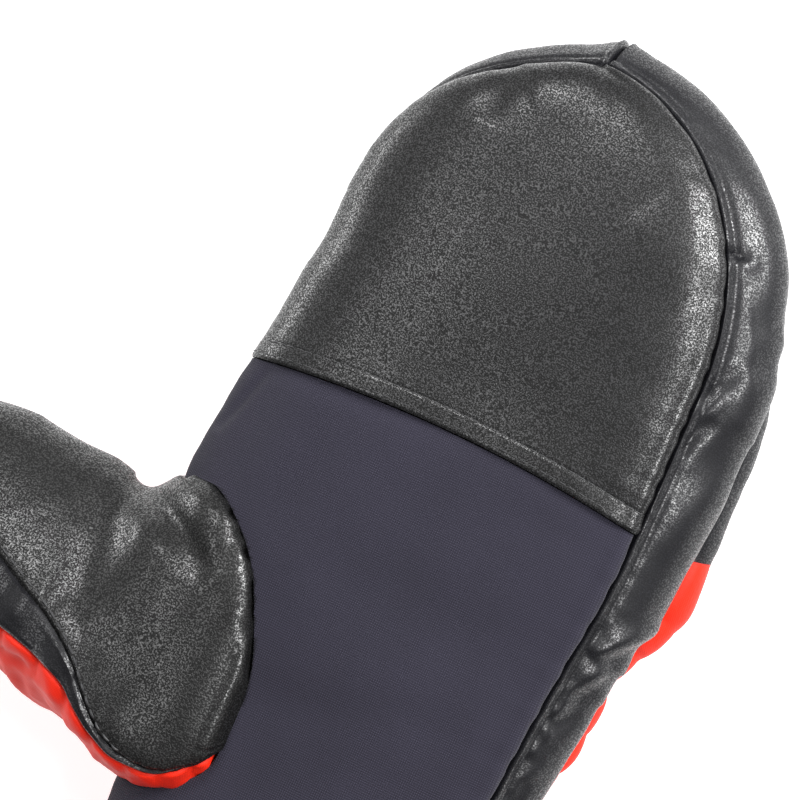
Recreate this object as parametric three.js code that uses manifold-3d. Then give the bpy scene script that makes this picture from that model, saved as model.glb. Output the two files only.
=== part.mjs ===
// A left-hand padded winter mitten lying on its back, palm up.
// Leather covers the fingertips, the sides and the thumb, a stretch fabric panel covers the palm,
// and a quilted padded shell covers the back of the hand, the back of the thumb and the cuff.
// Millimetres. +X points to the little-finger side, +Y to the fingertips, +Z out of the palm.
// Each piece is cut between seam lines, and neighbours share one seam wall with a small gap in it.
import * as THREE from "three";
import Module from "manifold-3d";

const wasm = await Module();
wasm.setup();

// Driving dimensions of the hand part.
const HAND_LENGTH = 235; // wrist seam to the end of the fingertips
const PALM_WIDTH = 122; // across the knuckles, over both sides
const HAND_DEPTH = 53; // back to palm face where the hand is fullest
const TIP_ARCH = 75; // length of the rounded fingertip end
const TIP_SHIFT = -10; // the top of the arch lies this far towards the thumb
const TIP_FULL = 3.4; // the arch's exponents on the thumb side, where 2 and 2 are an ellipse: fuller
const TIP_POINT = 1.2; // beside the straight part, and running to a low peak at the joining seam
const HEM_FROM_WRIST = 123; // wrist seam to the hem of the fingertip leather, at its ends
const HEM_BOW = 4; // the hem rises this much in the middle
const CAP_STEP = 1.2; // the turned leather hem stands this proud of the palm fabric

// Seam lines: how far each lies inside the outline in plan, and how high above the back.
const PALM_SEAM_INSET_OUTER = 15;
const PALM_SEAM_INSET_INNER = 2.5;
const PALM_SEAM_INSET_TIP = 9;
const PALM_SEAM_HEIGHT_OUTER = 45;
const PALM_SEAM_HEIGHT_INNER = 30;
const PALM_SEAM_HEIGHT_TIP = 41;
const BACK_SEAM_INSET_OUTER = 7;
const BACK_SEAM_INSET_INNER = 4;
const BACK_SEAM_INSET_TIP = 6;
const BACK_SEAM_HEIGHT = 18;
const BAND_BULGE_OUTER = 11.5;
const BAND_BULGE_INNER = 2;
const BAND_BULGE_TIP = 7;
const PALM_OVERHANG_INNER = 2.5; // the palm piece rolls over the thumb-side edge
const SHELL_OVERHANG = 5; // the padded back swells out past its seams
const BACK_TIP_OVERHANG = 3;

// Walls, padding included.
const PALM_WALL = 4.5;
const SIDE_WALL = 5;
const BACK_WALL = 9;
const THUMB_WALL = 4.5;
const CUFF_WALL = 4;
const SEAM_GAP = 0.3;
const SEAM_LEAN = 0.15; // a seam's wall leans this much towards the middle of the depth

// Quilting of the padded back.
const QUILT_PITCH = 36;
const QUILT_DEPTH = 4;
const QUILT_EDGE_SHARE = 0.6; // how much of that depth shows at the edges
const PRESSED_IN = 2.5; // how far the padding is pressed flat where it rests

// Thumb.
const THUMB_SET_IN = 36.5; // the thumb leather reaches this far into the palm from its side
const THUMB_REACH = 116; // from there to the end of the thumb
const THUMB_WIDTH = 60;
const THUMB_PROUD = 2.5; // the thumb leather stands this proud of the palm
const THUMB_AXIS_Y = 48; // from the wrist seam
const CREASE_DEPTH = 3.5; // the crease where the thumb bends

// Cuff.
const CUFF_LENGTH = 70;
const CUFF_STEP = 1; // the cuff stands this proud of the hand part at the wrist seam
const CUFF_WIDTH = 120;
const CUFF_DEPTH = 55;

// Outline of the straight part, from the wrist seam (0) to the start of the fingertip arch (1).
// left and right are shares of half PALM_WIDTH and top is a share of HAND_DEPTH. inset and bulge
// are shares of PALM_SEAM_INSET_OUTER and BAND_BULGE_OUTER.
const SIDES = [
  { along: 0.0, left: 0.83, right: 0.78, top: 0.86, inset: 0.5, bulge: 0.7 },
  { along: 0.1, left: 0.85, right: 0.79, top: 0.88, inset: 0.55, bulge: 0.65 },
  { along: 0.27, left: 0.91, right: 0.83, top: 0.92, inset: 0.62, bulge: 0.65 },
  { along: 0.41, left: 1.03, right: 0.87, top: 0.96, inset: 0.66, bulge: 0.7 },
  { along: 0.55, left: 1.1, right: 0.93, top: 0.98, inset: 0.76, bulge: 0.75 },
  { along: 0.63, left: 1.09, right: 0.99, top: 0.99, inset: 0.9, bulge: 0.72 },
  { along: 0.75, left: 1.06, right: 1.03, top: 1.0, inset: 1.0, bulge: 0.78 },
  { along: 1.0, left: 0.99, right: 1.03, top: 1.0, inset: 1.05, bulge: 1.0 },
];

// Thumb sections from the root in the palm (0) to the thumb tip (1).
// upper and lower are shares of THUMB_WIDTH from the thumb axis, front and back are shares of
// the height of the thumb root, and square is the corner exponent of the section. seam and strip
// are where the front leather and the side strip end, in degrees round the section from the side
// of the crotch over the front.
const THUMB = [
  { out: 0.0, upper: -0.1, lower: -0.24, front: 0.76, back: 0.51, square: 6, seam: 135, strip: 143 },
  { out: 0.018, upper: 0.09, lower: -0.38, front: 0.93, back: 0.3, square: 6, seam: 135, strip: 143 },
  { out: 0.05, upper: 0.25, lower: -0.46, front: 0.97, back: 0.25, square: 6, seam: 135, strip: 143 },
  { out: 0.1, upper: 0.45, lower: -0.54, front: 1, back: 0.25, square: 6, seam: 135, strip: 143 },
  { out: 0.17, upper: 0.6, lower: -0.57, front: 1.01, back: 0.25, square: 5.5, seam: 134, strip: 143 },
  { out: 0.25, upper: 0.7, lower: -0.56, front: 1, back: 0.25, square: 5, seam: 131, strip: 143 },
  { out: 0.31, upper: 0.71, lower: -0.53, front: 0.98, back: 0.25, square: 4.2, seam: 127, strip: 143 },
  { out: 0.37, upper: 0.66, lower: -0.49, front: 0.96, back: 0.2, square: 3.4, seam: 124, strip: 144 },
  { out: 0.45, upper: 0.59, lower: -0.47, front: 0.92, back: 0.15, square: 3, seam: 119, strip: 145 },
  { out: 0.55, upper: 0.63, lower: -0.43, front: 0.91, back: 0.12, square: 2.8, seam: 115, strip: 147 },
  { out: 0.66, upper: 0.65, lower: -0.34, front: 0.89, back: 0.11, square: 2.6, seam: 113, strip: 149 },
  { out: 0.76, upper: 0.65, lower: -0.24, front: 0.86, back: 0.11, square: 2.5, seam: 115, strip: 151 },
  { out: 0.86, upper: 0.62, lower: -0.11, front: 0.82, back: 0.14, square: 2.4, seam: 118, strip: 154 },
  { out: 0.94, upper: 0.54, lower: 0.06, front: 0.75, back: 0.2, square: 2.3, seam: 124, strip: 158 },
  { out: 0.98, upper: 0.44, lower: 0.16, front: 0.65, back: 0.29, square: 2.2, seam: 126, strip: 158 },
  { out: 1.0, upper: 0.3, lower: 0.3, front: 0.46, back: 0.46, square: 2, seam: 126, strip: 158 },
];
const THUMB_ROLL = 24; // the free thumb is turned this many degrees, its front towards the fingertips
const THUMB_ROLL_START = 0.2; // shares of the reach over which it turns
const THUMB_ROLL_END = 0.5;
const THUMB_CROTCH_SEAM = -12; // degrees round the section to the seam in the crotch
const THUMB_TIP_SHARE = 0.93; // beyond this share of the reach the front leather wraps all round

// Facets.
const PALM_COLUMNS = 16;
const BAND_COLUMNS = 5;
const PALM_ROWS = 9;
const CAP_ROWS = 4;
const ARCH_ROWS = 10;
const THUMB_SIDES = 30;
const FRONT_SIDES = 12;
const STRIP_SIDES = 3;
const BACK_SIDES = 14;
const CUFF_ROWS = 6;
const CUFF_SIDES = 40;

// The crease runs across the front of the thumb beside the palm: along in shares of THUMB_REACH,
// across in shares of THUMB_WIDTH from the thumb axis.
const CREASE = {
  start: { along: 0.22, across: 0.4 },
  end: { along: 0.39, across: 0.56 },
  width: 0.1,
};

const HALF_WIDTH = PALM_WIDTH / 2;
const THUMB_ROOT_X = THUMB_SET_IN - HALF_WIDTH;
const THUMB_ROOT_HEIGHT = HAND_DEPTH + THUMB_PROUD;
const STRAIGHT = HAND_LENGTH - TIP_ARCH;

// A smooth curve through one column of a table, read at a share of its length.
function lookUp(table, position, column, share) {
  const last = table.length - 1;
  let k = 0;
  while (k < last - 1 && share > table[k + 1][position]) k += 1;
  const a = table[Math.max(k - 1, 0)];
  const b = table[k];
  const c = table[k + 1];
  const d = table[Math.min(k + 2, last)];
  const span = c[position] - b[position];
  const t = Math.min(Math.max((share - b[position]) / span, 0), 1);
  const slope = (p, q) => ((q[column] - p[column]) / (q[position] - p[position])) * span;
  const m0 = slope(a, c);
  const m1 = slope(b, d);
  const t2 = t * t;
  const t3 = t2 * t;
  return (
    (2 * t3 - 3 * t2 + 1) * b[column] +
    (t3 - 2 * t2 + t) * m0 +
    (3 * t2 - 2 * t3) * c[column] +
    (t3 - t2) * m1
  );
}

// Height of a padded edge: 1 in the middle, 0 at h = 1 or -1, square for a large exponent.
function dome(h, exponent) {
  return Math.max(1 - Math.abs(h) ** exponent, 0) ** (1 / exponent);
}

const mix = (a, b, t) => a + (b - a) * t;

// The rows that run across the hand. A row of the fingertip arch has an angle, from 0 to a right angle.
function straightRow(y) {
  return { y, angle: 0 };
}

function archRow(angle) {
  return { y: STRAIGHT, angle };
}

const handRows = { palm: [], cap: [] };
for (let i = 0; i <= PALM_ROWS; i += 1) {
  handRows.palm.push(straightRow((HEM_FROM_WRIST * i) / PALM_ROWS));
}
for (let i = 0; i < CAP_ROWS; i += 1) {
  handRows.cap.push(straightRow(mix(HEM_FROM_WRIST, STRAIGHT, i / CAP_ROWS)));
}
for (let i = 0; i <= ARCH_ROWS; i += 1) {
  handRows.cap.push(archRow((Math.PI / 2) * (i / ARCH_ROWS)));
}

// A line round the hand in plan, at an inset from the outline. side is -1 towards the thumb, +1 away.
function planPoint(row, side, insetSide, insetTip) {
  const share = row.y / STRAIGHT;
  const column = side < 0 ? "left" : "right";
  const width = lookUp(SIDES, "along", column, share) * HALF_WIDTH - insetSide;
  if (row.angle === 0) return { x: side * width, y: row.y, nx: side, ny: 0 };
  const across = width - side * TIP_SHIFT;
  const height = TIP_ARCH - insetTip;
  const s = Math.sin(row.angle);
  const point = side < 0 ? TIP_POINT : 2;
  const full = side < 0 ? TIP_FULL : 2;
  const reach = Math.max(1 - s ** full, 0) ** (1 / point);
  const nx = (point * reach ** (point - 1)) / across;
  const ny = (full * s ** (full - 1)) / height;
  const length = Math.hypot(nx, ny);
  return {
    x: TIP_SHIFT + side * across * reach,
    y: STRAIGHT + height * s,
    nx: (side * nx) / length,
    ny: ny / length,
  };
}

// The outer inset narrows towards the wrist, as the side panel does.
function palmInset(row, side) {
  if (side < 0) return PALM_SEAM_INSET_INNER;
  return PALM_SEAM_INSET_OUTER * lookUp(SIDES, "along", "inset", row.y / STRAIGHT);
}

const tipShare = (row) => Math.sin(row.angle);
const topShare = (row) => lookUp(SIDES, "along", "top", row.y / STRAIGHT);

// The two seams at one row. wall is how far inside the outer face the point lies, and lift draws
// the piece above the seam up by half the gap, or the piece below it down.
function palmSeam(row, side, wall, lift) {
  const p = planPoint(row, side, palmInset(row, side) + wall, PALM_SEAM_INSET_TIP + wall);
  const height = side < 0 ? PALM_SEAM_HEIGHT_INNER : PALM_SEAM_HEIGHT_OUTER;
  const z = mix(height * topShare(row), PALM_SEAM_HEIGHT_TIP, tipShare(row) ** 1.6);
  return { ...p, z: z - wall * SEAM_LEAN + (lift * SEAM_GAP) / 2 };
}

function backSeam(row, side, wall, lift) {
  const inset = side < 0 ? BACK_SEAM_INSET_INNER : BACK_SEAM_INSET_OUTER;
  const p = planPoint(row, side, inset + wall, BACK_SEAM_INSET_TIP + wall);
  return { ...p, z: BACK_SEAM_HEIGHT + wall * SEAM_LEAN + (lift * SEAM_GAP) / 2 };
}

// A piece stretched between the seam on each side of the hand, crowned outwards.
function acrossHand(row, s, left, right, extreme, overhang, exponent) {
  const h = 2 * s - 1;
  const rise = dome(h, exponent);
  const edge = h < 0 ? left : right;
  const push = (h < 0 ? overhang.left : overhang.right) * 4 * rise * (1 - rise);
  return new THREE.Vector3(
    mix(left.x, right.x, s) + edge.nx * push,
    mix(left.y, right.y, s) + edge.ny * push,
    mix(edge.z, extreme, rise),
  );
}

// Palm face at one point: raise is what the leather adds, wall is how deep inside the face it lies.
function palmPoint(row, s, raise, wall) {
  const seamWall = wall ? SIDE_WALL : 0;
  const top = topShare(row) * HAND_DEPTH + raise - wall;
  const tipTop = PALM_SEAM_HEIGHT_TIP - wall * SEAM_LEAN;
  const extreme = mix(tipTop, top, dome(tipShare(row), 3.2));
  const overhang = { left: PALM_OVERHANG_INNER * (1 - tipShare(row)), right: 0 };
  const seams = [palmSeam(row, -1, seamWall, 1), palmSeam(row, 1, seamWall, 1)];
  const point = acrossHand(row, s, seams[0], seams[1], extreme, overhang, 3);
  const fromHem = (row.y - HEM_FROM_WRIST) / (STRAIGHT - HEM_FROM_WRIST);
  const window = row.angle > 0 ? 0 : Math.max(1 - fromHem * fromHem, 0);
  point.y += HEM_BOW * (1 - (2 * s - 1) ** 2) * window;
  return point;
}

// Side panel: w runs from the palm seam (0) to the back seam (1), where lift is as for the seams.
function bandPoint(row, side, w, wall, lift) {
  const a = palmSeam(row, side, wall, -1);
  const b = backSeam(row, side, wall, lift);
  const swell = lookUp(SIDES, "along", "bulge", row.y / STRAIGHT);
  const sideBulge = side < 0 ? BAND_BULGE_INNER : BAND_BULGE_OUTER * swell;
  const bulge = mix(sideBulge, BAND_BULGE_TIP, tipShare(row) ** 2) * Math.sin(Math.PI * w) ** 0.85;
  const run = Math.hypot(b.x - a.x, b.y - a.y);
  const slope = Math.atan2(run, a.z - b.z);
  return new THREE.Vector3(
    mix(a.x, b.x, w) + mix(a.nx, b.nx, w) * bulge * Math.cos(slope),
    mix(a.y, b.y, w) + mix(a.ny, b.ny, w) * bulge * Math.cos(slope),
    mix(a.z, b.z, w) + bulge * Math.sin(slope),
  );
}

// Quilting pulls the padded back in along lines across the hand.
function quilt(y) {
  const phase = (HEM_FROM_WRIST - y) / QUILT_PITCH;
  const wave = Math.abs(Math.sin(Math.PI * phase)) ** 0.6;
  return QUILT_DEPTH * (1 - wave);
}

function backPoint(row, s, wall, quilted) {
  const seamWall = wall ? SIDE_WALL : 0;
  const pulled = quilted && !wall ? quilt(row.y) : 0;
  const lowest = wall - PRESSED_IN + pulled;
  const atTip = BACK_SEAM_HEIGHT + seamWall * SEAM_LEAN;
  const extreme = mix(atTip, lowest, dome(tipShare(row), 2.2));
  const overhang = quilted ? SHELL_OVERHANG : BACK_TIP_OVERHANG;
  const reach = (wall ? 0 : overhang) - pulled * QUILT_EDGE_SHARE;
  const seams = [backSeam(row, -1, seamWall, -1), backSeam(row, 1, seamWall, -1)];
  return acrossHand(row, s, seams[0], seams[1], extreme, { left: reach, right: reach }, 3);
}

// Columns lie closer together near the seams, where the piece curves most.
const columnShare = (j) => (1 - Math.cos((Math.PI * j) / PALM_COLUMNS)) / 2;

// A grid of points: one list per row.
function grid(rows, columns, pointAt) {
  return rows.map((row) => {
    const points = [];
    for (let j = 0; j <= columns; j += 1) points.push(pointAt(row, j));
    return points;
  });
}

// Draws the chosen edges of a grid back from their seams by half the seam gap.
function openSeams(points, edges) {
  const half = SEAM_GAP / 2;
  const moved = points.map((row) => row.map((p) => p.clone()));
  const lastRow = points.length - 1;
  const lastColumn = points[0].length - 1;
  const pull = (i, j, ni, nj) => {
    const step = points[ni][nj].clone().sub(points[i][j]);
    if (step.length() > 1e-6) moved[i][j].add(step.setLength(half));
  };
  for (let i = 0; i <= lastRow; i += 1) {
    if (edges.left) pull(i, 0, i, 1);
    if (edges.right) pull(i, lastColumn, i, lastColumn - 1);
  }
  for (let j = 0; j <= lastColumn; j += 1) {
    if (edges.start) pull(0, j, 1, j);
    if (edges.end) pull(lastRow, j, lastRow - 1, j);
  }
  return moved;
}

// Faces of a grid, as lists of point numbers.
function gridQuads(rowCount, columnCount, keep) {
  const quads = [];
  for (let i = 0; i + 1 < rowCount; i += 1) {
    for (let j = 0; j + 1 < columnCount; j += 1) {
      if (keep && !keep(i, j)) continue;
      const a = i * columnCount + j;
      quads.push([a, a + 1, a + columnCount + 1, a + columnCount]);
    }
  }
  return quads;
}

// Points that coincide share one number.
function weld(points) {
  const numbers = new Map();
  return points.map((p, k) => {
    const key = `${p.x.toFixed(4)},${p.y.toFixed(4)},${p.z.toFixed(4)}`;
    if (!numbers.has(key)) numbers.set(key, k);
    return numbers.get(key);
  });
}

// A closed solid from points and faces, turned to face outwards.
function solid(points, faces) {
  const numbers = weld(points);
  const triangles = [];
  for (const face of faces) {
    const ids = face.map((k) => numbers[k]);
    for (let k = 1; k + 1 < ids.length; k += 1) {
      const [a, b, c] = [ids[0], ids[k], ids[k + 1]];
      if (a !== b && b !== c && a !== c) triangles.push(a, b, c);
    }
  }
  const used = [...new Set(triangles)];
  const place = new Map(used.map((id, k) => [id, k]));
  const vertProperties = new Float32Array(used.flatMap((id) => points[id].toArray()));
  const build = (order) =>
    new wasm.Manifold(
      new wasm.Mesh({
        numProp: 3,
        vertProperties,
        triVerts: new Uint32Array(order.map((id) => place.get(id))),
      }),
    );
  const made = build(triangles);
  if (made.volume() > 0) return made;
  const turned = triangles.slice();
  for (let k = 0; k < turned.length; k += 3) {
    [turned[k + 1], turned[k + 2]] = [turned[k + 2], turned[k + 1]];
  }
  return build(turned);
}

// A wall between an outer and an inner grid, closed round its free edges.
function wallSolid(outer, inner, keep) {
  const columnCount = outer[0].length;
  const outside = outer.flat();
  const inside = inner.flat();
  const numbers = weld(outside);
  const quads = gridQuads(outer.length, columnCount, keep).map((q) => q.map((k) => numbers[k]));
  const count = outside.length;
  const faces = [];
  const edges = new Set();
  for (const quad of quads) {
    faces.push(quad, quad.map((k) => k + count).reverse());
    quad.forEach((k, n) => edges.add(`${k}>${quad[(n + 1) % 4]}`));
  }
  for (const edge of edges) {
    const [a, b] = edge.split(">").map(Number);
    if (a !== b && !edges.has(`${b}>${a}`)) faces.push([b, a, a + count, b + count]);
  }
  return solid([...outside, ...inside], faces);
}

// A closed solid through rings of equal length, from one end to the other.
function loft(rings) {
  const size = rings[0].length;
  const points = rings.flat();
  const faces = [];
  for (let i = 0; i + 1 < rings.length; i += 1) {
    for (let j = 0; j < size; j += 1) {
      const k = (j + 1) % size;
      faces.push([i * size + j, i * size + k, (i + 1) * size + k, (i + 1) * size + j]);
    }
  }
  const first = rings[0].map((_, j) => size - 1 - j);
  const last = rings[0].map((_, j) => (rings.length - 1) * size + j);
  faces.push(first, last);
  return solid(points, faces);
}

// Palm fabric and fingertip leather.
function palmPiece(rows, raise, edges) {
  const outer = grid(rows, PALM_COLUMNS, (row, j) => palmPoint(row, columnShare(j), raise, 0));
  const inner = grid(rows, PALM_COLUMNS, (row, j) => palmPoint(row, columnShare(j), 0, PALM_WALL));
  return wallSolid(openSeams(outer, edges), openSeams(inner, edges));
}

// Side panels: the outer one runs from the wrist to the tip, the inner one from the crotch to the tip.
function bandPiece(rows, side) {
  const at = (wall) => (row, j) => bandPoint(row, side, j / BAND_COLUMNS, wall, 1);
  const edges = { start: true, end: true };
  const outer = grid(rows, BAND_COLUMNS, at(0));
  const inner = grid(rows, BAND_COLUMNS, at(SIDE_WALL));
  return wallSolid(openSeams(outer, edges), openSeams(inner, edges));
}

// Padded back. Below the crotch it also wraps up the thumb side to the palm seam.
function backGrid(rows, wall, quilted, wrapped) {
  return rows.map((row) => {
    const points = [];
    if (wrapped) {
      const seamWall = wall ? SIDE_WALL : 0;
      for (let j = 0; j < BAND_COLUMNS; j += 1) {
        points.push(bandPoint(row, -1, j / BAND_COLUMNS, seamWall, -1));
      }
    }
    for (let j = 0; j <= PALM_COLUMNS; j += 1) {
      points.push(backPoint(row, columnShare(j), wall, quilted));
    }
    return points;
  });
}

const QUILT_ROWS = 24;
const shellRows = [];
for (let i = 0; i <= QUILT_ROWS; i += 1) {
  shellRows.push(straightRow((HEM_FROM_WRIST * i) / QUILT_ROWS));
}
const allRows = [...handRows.palm, ...handRows.cap.slice(1)];
// On the thumb side the leather starts, and the padded shell ends, behind the root of the thumb.
const innerRows = [
  straightRow(THUMB_AXIS_Y + SIDE_WALL),
  ...allRows.filter((row) => row.y > THUMB_AXIS_Y + 2 * SIDE_WALL),
];

// The hollow for the hand, closed at the wrist, from the inner faces of the walls.
function handHollow() {
  const rings = allRows.map((row) => {
    const ring = [];
    for (let j = 0; j < PALM_COLUMNS; j += 1) {
      ring.push(palmPoint(row, columnShare(j), 0, PALM_WALL));
    }
    for (let j = 0; j < BAND_COLUMNS; j += 1) {
      ring.push(bandPoint(row, 1, j / BAND_COLUMNS, SIDE_WALL, 0));
    }
    for (let j = PALM_COLUMNS; j > 0; j -= 1) {
      ring.push(backPoint(row, columnShare(j), BACK_WALL, false));
    }
    for (let j = BAND_COLUMNS; j > 0; j -= 1) {
      ring.push(bandPoint(row, -1, j / BAND_COLUMNS, SIDE_WALL, 0));
    }
    return ring;
  });
  return loft(rings);
}

// How deep the thumb's crease is at a place on its front.
function creaseDepth(along, across) {
  const { start, end, width } = CREASE;
  const run = { along: end.along - start.along, across: end.across - start.across };
  const length = Math.hypot(run.along, run.across);
  const offset = { along: along - start.along, across: across - start.across };
  const t = (offset.along * run.along + offset.across * run.across) / length ** 2;
  const aside = (offset.along * run.across - offset.across * run.along) / length;
  const fade = Math.max(1 - (2 * t - 1) ** 4, 0);
  return CREASE_DEPTH * fade * Math.exp(-((aside / width) ** 2));
}

// One point of the thumb's section. Angle 0 faces the crotch and a right angle faces the palm side.
function thumbPoint(share, degrees, wall) {
  const at = (column) => lookUp(THUMB, "out", column, share);
  const power = 2 / at("square");
  const upper = at("upper") * THUMB_WIDTH - wall;
  const lower = at("lower") * THUMB_WIDTH + wall;
  const front = at("front") * THUMB_ROOT_HEIGHT - wall;
  const back = at("back") * THUMB_ROOT_HEIGHT + wall;
  const halfWidth = Math.max((upper - lower) / 2, 0);
  const halfDepth = Math.max((front - back) / 2, 0);
  const angle = THREE.MathUtils.degToRad(degrees);
  const c = Math.cos(angle);
  const s = Math.sin(angle);
  const across = halfWidth * Math.sign(c) * Math.abs(c) ** power;
  const up = halfDepth * Math.sign(s) * Math.abs(s) ** power;
  const turned = THREE.MathUtils.smoothstep(share, THUMB_ROLL_START, THUMB_ROLL_END);
  const roll = THREE.MathUtils.degToRad(THUMB_ROLL * turned);
  const reach = THUMB_REACH - 2 * wall;
  const point = new THREE.Vector3(
    THUMB_ROOT_X - wall - reach * share,
    THUMB_AXIS_Y + (upper + lower) / 2 + across * Math.cos(roll) + up * Math.sin(roll),
    (front + back) / 2 - across * Math.sin(roll) + up * Math.cos(roll),
  );
  if (up > 0) point.z -= creaseDepth(share, (point.y - THUMB_AXIS_Y) / THUMB_WIDTH);
  return point;
}

const seamAt = (column) => (share) => lookUp(THUMB, "out", column, share);
const crotchSeam = () => THUMB_CROTCH_SEAM;
const crotchSeamAgain = () => THUMB_CROTCH_SEAM + 360;

// Stations along the thumb: those of the table, with one more between the wide ones.
const thumbStations = THUMB.flatMap((row, k) => {
  const next = THUMB[k + 1];
  const wide = next && next.out - row.out > 0.07;
  return wide ? [row.out, (row.out + next.out) / 2] : [row.out];
});

function thumbSolid(wall) {
  const rings = thumbStations.map((share) => {
    const ring = [];
    for (let j = 0; j < THUMB_SIDES; j += 1) {
      ring.push(thumbPoint(share, (360 * j) / THUMB_SIDES, wall));
    }
    return ring;
  });
  return loft(rings);
}

// A thumb piece between two seams of the section, over a run of stations.
function thumbPiece(from, to, count, shares, openEnd) {
  const closed = count === THUMB_SIDES;
  const edges = { left: !closed, right: !closed, start: false, end: openEnd };
  const degreesAt = (share, j) => mix(from(share), to(share), j / count);
  const at = (wall) => (share, j) => thumbPoint(share, degreesAt(share, j), wall);
  return wallSolid(
    openSeams(grid(shares, count, at(0)), edges),
    openSeams(grid(shares, count, at(THUMB_WALL)), edges),
  );
}

// Cuff: a plain padded sleeve that flares from the wrist seam to its open end.
const wristShare = (column) => lookUp(SIDES, "along", column, 0);
const WRIST_WIDTH = (wristShare("left") + wristShare("right")) * HALF_WIDTH + 2 * CUFF_STEP;
const WRIST_CENTRE = ((wristShare("right") - wristShare("left")) * HALF_WIDTH) / 2;
const WRIST_DEPTH = wristShare("top") * HAND_DEPTH + CUFF_STEP;
const CUFF_SQUARE = 0.75; // 1 is an ellipse, and less is squarer

function cuffRing(share, wall) {
  const ease = THREE.MathUtils.smoothstep(share, 0, 1);
  const halfWidth = mix(WRIST_WIDTH, CUFF_WIDTH, ease) / 2 - wall;
  const centre = mix(WRIST_CENTRE, 0, ease);
  const depth = mix(WRIST_DEPTH, CUFF_DEPTH, ease);
  const halfDepth = (depth + PRESSED_IN) / 2 - wall;
  const middle = (depth - PRESSED_IN) / 2;
  const ring = [];
  for (let j = 0; j <= CUFF_SIDES; j += 1) {
    const angle = (2 * Math.PI * j) / CUFF_SIDES;
    const c = Math.cos(angle);
    const s = Math.sin(angle);
    ring.push(
      new THREE.Vector3(
        centre + halfWidth * Math.sign(c) * Math.abs(c) ** CUFF_SQUARE,
        -SEAM_GAP - (CUFF_LENGTH - SEAM_GAP) * share,
        middle + halfDepth * Math.sign(s) * Math.abs(s) ** CUFF_SQUARE,
      ),
    );
  }
  return ring;
}

function cuffPiece() {
  const shares = [...Array(CUFF_ROWS + 1).keys()].map((i) => i / CUFF_ROWS);
  return wallSolid(
    shares.map((share) => cuffRing(share, 0)),
    shares.map((share) => cuffRing(share, CUFF_WALL)),
  );
}

// The slab below the floor that flattens what rests on it.
function floorSlab() {
  const reach = 2 * (HAND_LENGTH + CUFF_LENGTH);
  const slab = new THREE.BoxGeometry(reach, reach, reach);
  slab.translate(0, 0, -reach / 2);
  const position = slab.getAttribute("position");
  const points = [];
  for (let k = 0; k < position.count; k += 1) {
    points.push(new THREE.Vector3().fromBufferAttribute(position, k));
  }
  const index = slab.getIndex().array;
  const faces = [];
  for (let k = 0; k < index.length; k += 3) faces.push([...index.slice(k, k + 3)]);
  return solid(points, faces);
}

const hollow = handHollow();
const floor = floorSlab();
const thumbOpening = thumbSolid(-SEAM_GAP);
const bothEnds = { start: true, end: true };
const firstEnd = { start: true };

const palmPanel = palmPiece(handRows.palm, 0, bothEnds).subtract(thumbOpening);
const fingertipCap = palmPiece(handRows.cap, CAP_STEP, firstEnd);
const outerSide = bandPiece(allRows, 1).subtract(floor);
const innerSide = bandPiece(innerRows, -1).subtract(thumbOpening);

const backShell = wallSolid(
  openSeams(backGrid(shellRows, 0, true, true), bothEnds),
  openSeams(backGrid(shellRows, BACK_WALL, true, true), bothEnds),
  (i, j) => j >= BAND_COLUMNS || shellRows[i + 1].y < THUMB_AXIS_Y,
)
  .subtract(thumbOpening)
  .subtract(floor);

const backTip = wallSolid(
  openSeams(backGrid(handRows.cap, 0, false, false), firstEnd),
  openSeams(backGrid(handRows.cap, BACK_WALL, false, false), firstEnd),
).subtract(floor);

const tipStart = thumbStations.findIndex((share) => share >= THUMB_TIP_SHARE);
const bodyStations = thumbStations.slice(0, tipStart + 1);
const tipStations = thumbStations.slice(tipStart);
const frontSeam = seamAt("seam");
const stripSeam = seamAt("strip");

const thumbTip = thumbPiece(crotchSeam, crotchSeamAgain, THUMB_SIDES, tipStations, false);
const thumbFront = thumbPiece(crotchSeam, frontSeam, FRONT_SIDES, thumbStations, false)
  .add(thumbTip)
  .subtract(hollow);
const thumbStrip = thumbPiece(frontSeam, stripSeam, STRIP_SIDES, bodyStations, true)
  .subtract(hollow);
const thumbBack = thumbPiece(stripSeam, crotchSeamAgain, BACK_SIDES, bodyStations, true)
  .subtract(hollow);
const cuff = cuffPiece().subtract(floor);

// Finishes.
const leather = { color: 0x1b1b1c, roughness: 0.42, metalness: 0 };
const palmFabric = { color: 0x2c2b36, roughness: 0.85, metalness: 0 };
const shellFabric = { color: 0xf0391f, roughness: 0.6, metalness: 0 };

// One named mesh from a solid.
function piece(name, made, finish) {
  const mesh = made.getMesh();
  const positions = new Float32Array(mesh.numVert * 3);
  for (let k = 0; k < mesh.numVert; k += 1) {
    const start = k * mesh.numProp;
    positions.set(mesh.vertProperties.subarray(start, start + 3), k * 3);
  }
  const geometry = new THREE.BufferGeometry();
  geometry.setAttribute("position", new THREE.BufferAttribute(positions, 3));
  geometry.setIndex(new THREE.BufferAttribute(mesh.triVerts, 1));
  geometry.computeVertexNormals();
  const material = new THREE.MeshStandardMaterial({ ...finish, flatShading: true });
  const node = new THREE.Mesh(geometry, material);
  node.name = name;
  return node;
}

const mitten = new THREE.Group();
mitten.add(
  piece("palm_panel", palmPanel, palmFabric),
  piece("fingertip_cap", fingertipCap, leather),
  piece("outer_side_panel", outerSide, leather),
  piece("inner_side_panel", innerSide, leather),
  piece("back_shell", backShell, shellFabric),
  piece("back_fingertip_panel", backTip, leather),
  piece("thumb_front", thumbFront, leather),
  piece("thumb_side_strip", thumbStrip, leather),
  piece("thumb_back", thumbBack, shellFabric),
  piece("cuff", cuff, shellFabric),
);

// The part's origin is at the bottom centre of its own box.
const box = new THREE.Box3().setFromObject(mitten);
const centre = box.getCenter(new THREE.Vector3());
mitten.position.set(-centre.x, -centre.y, -box.min.z);

export default mitten;
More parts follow.
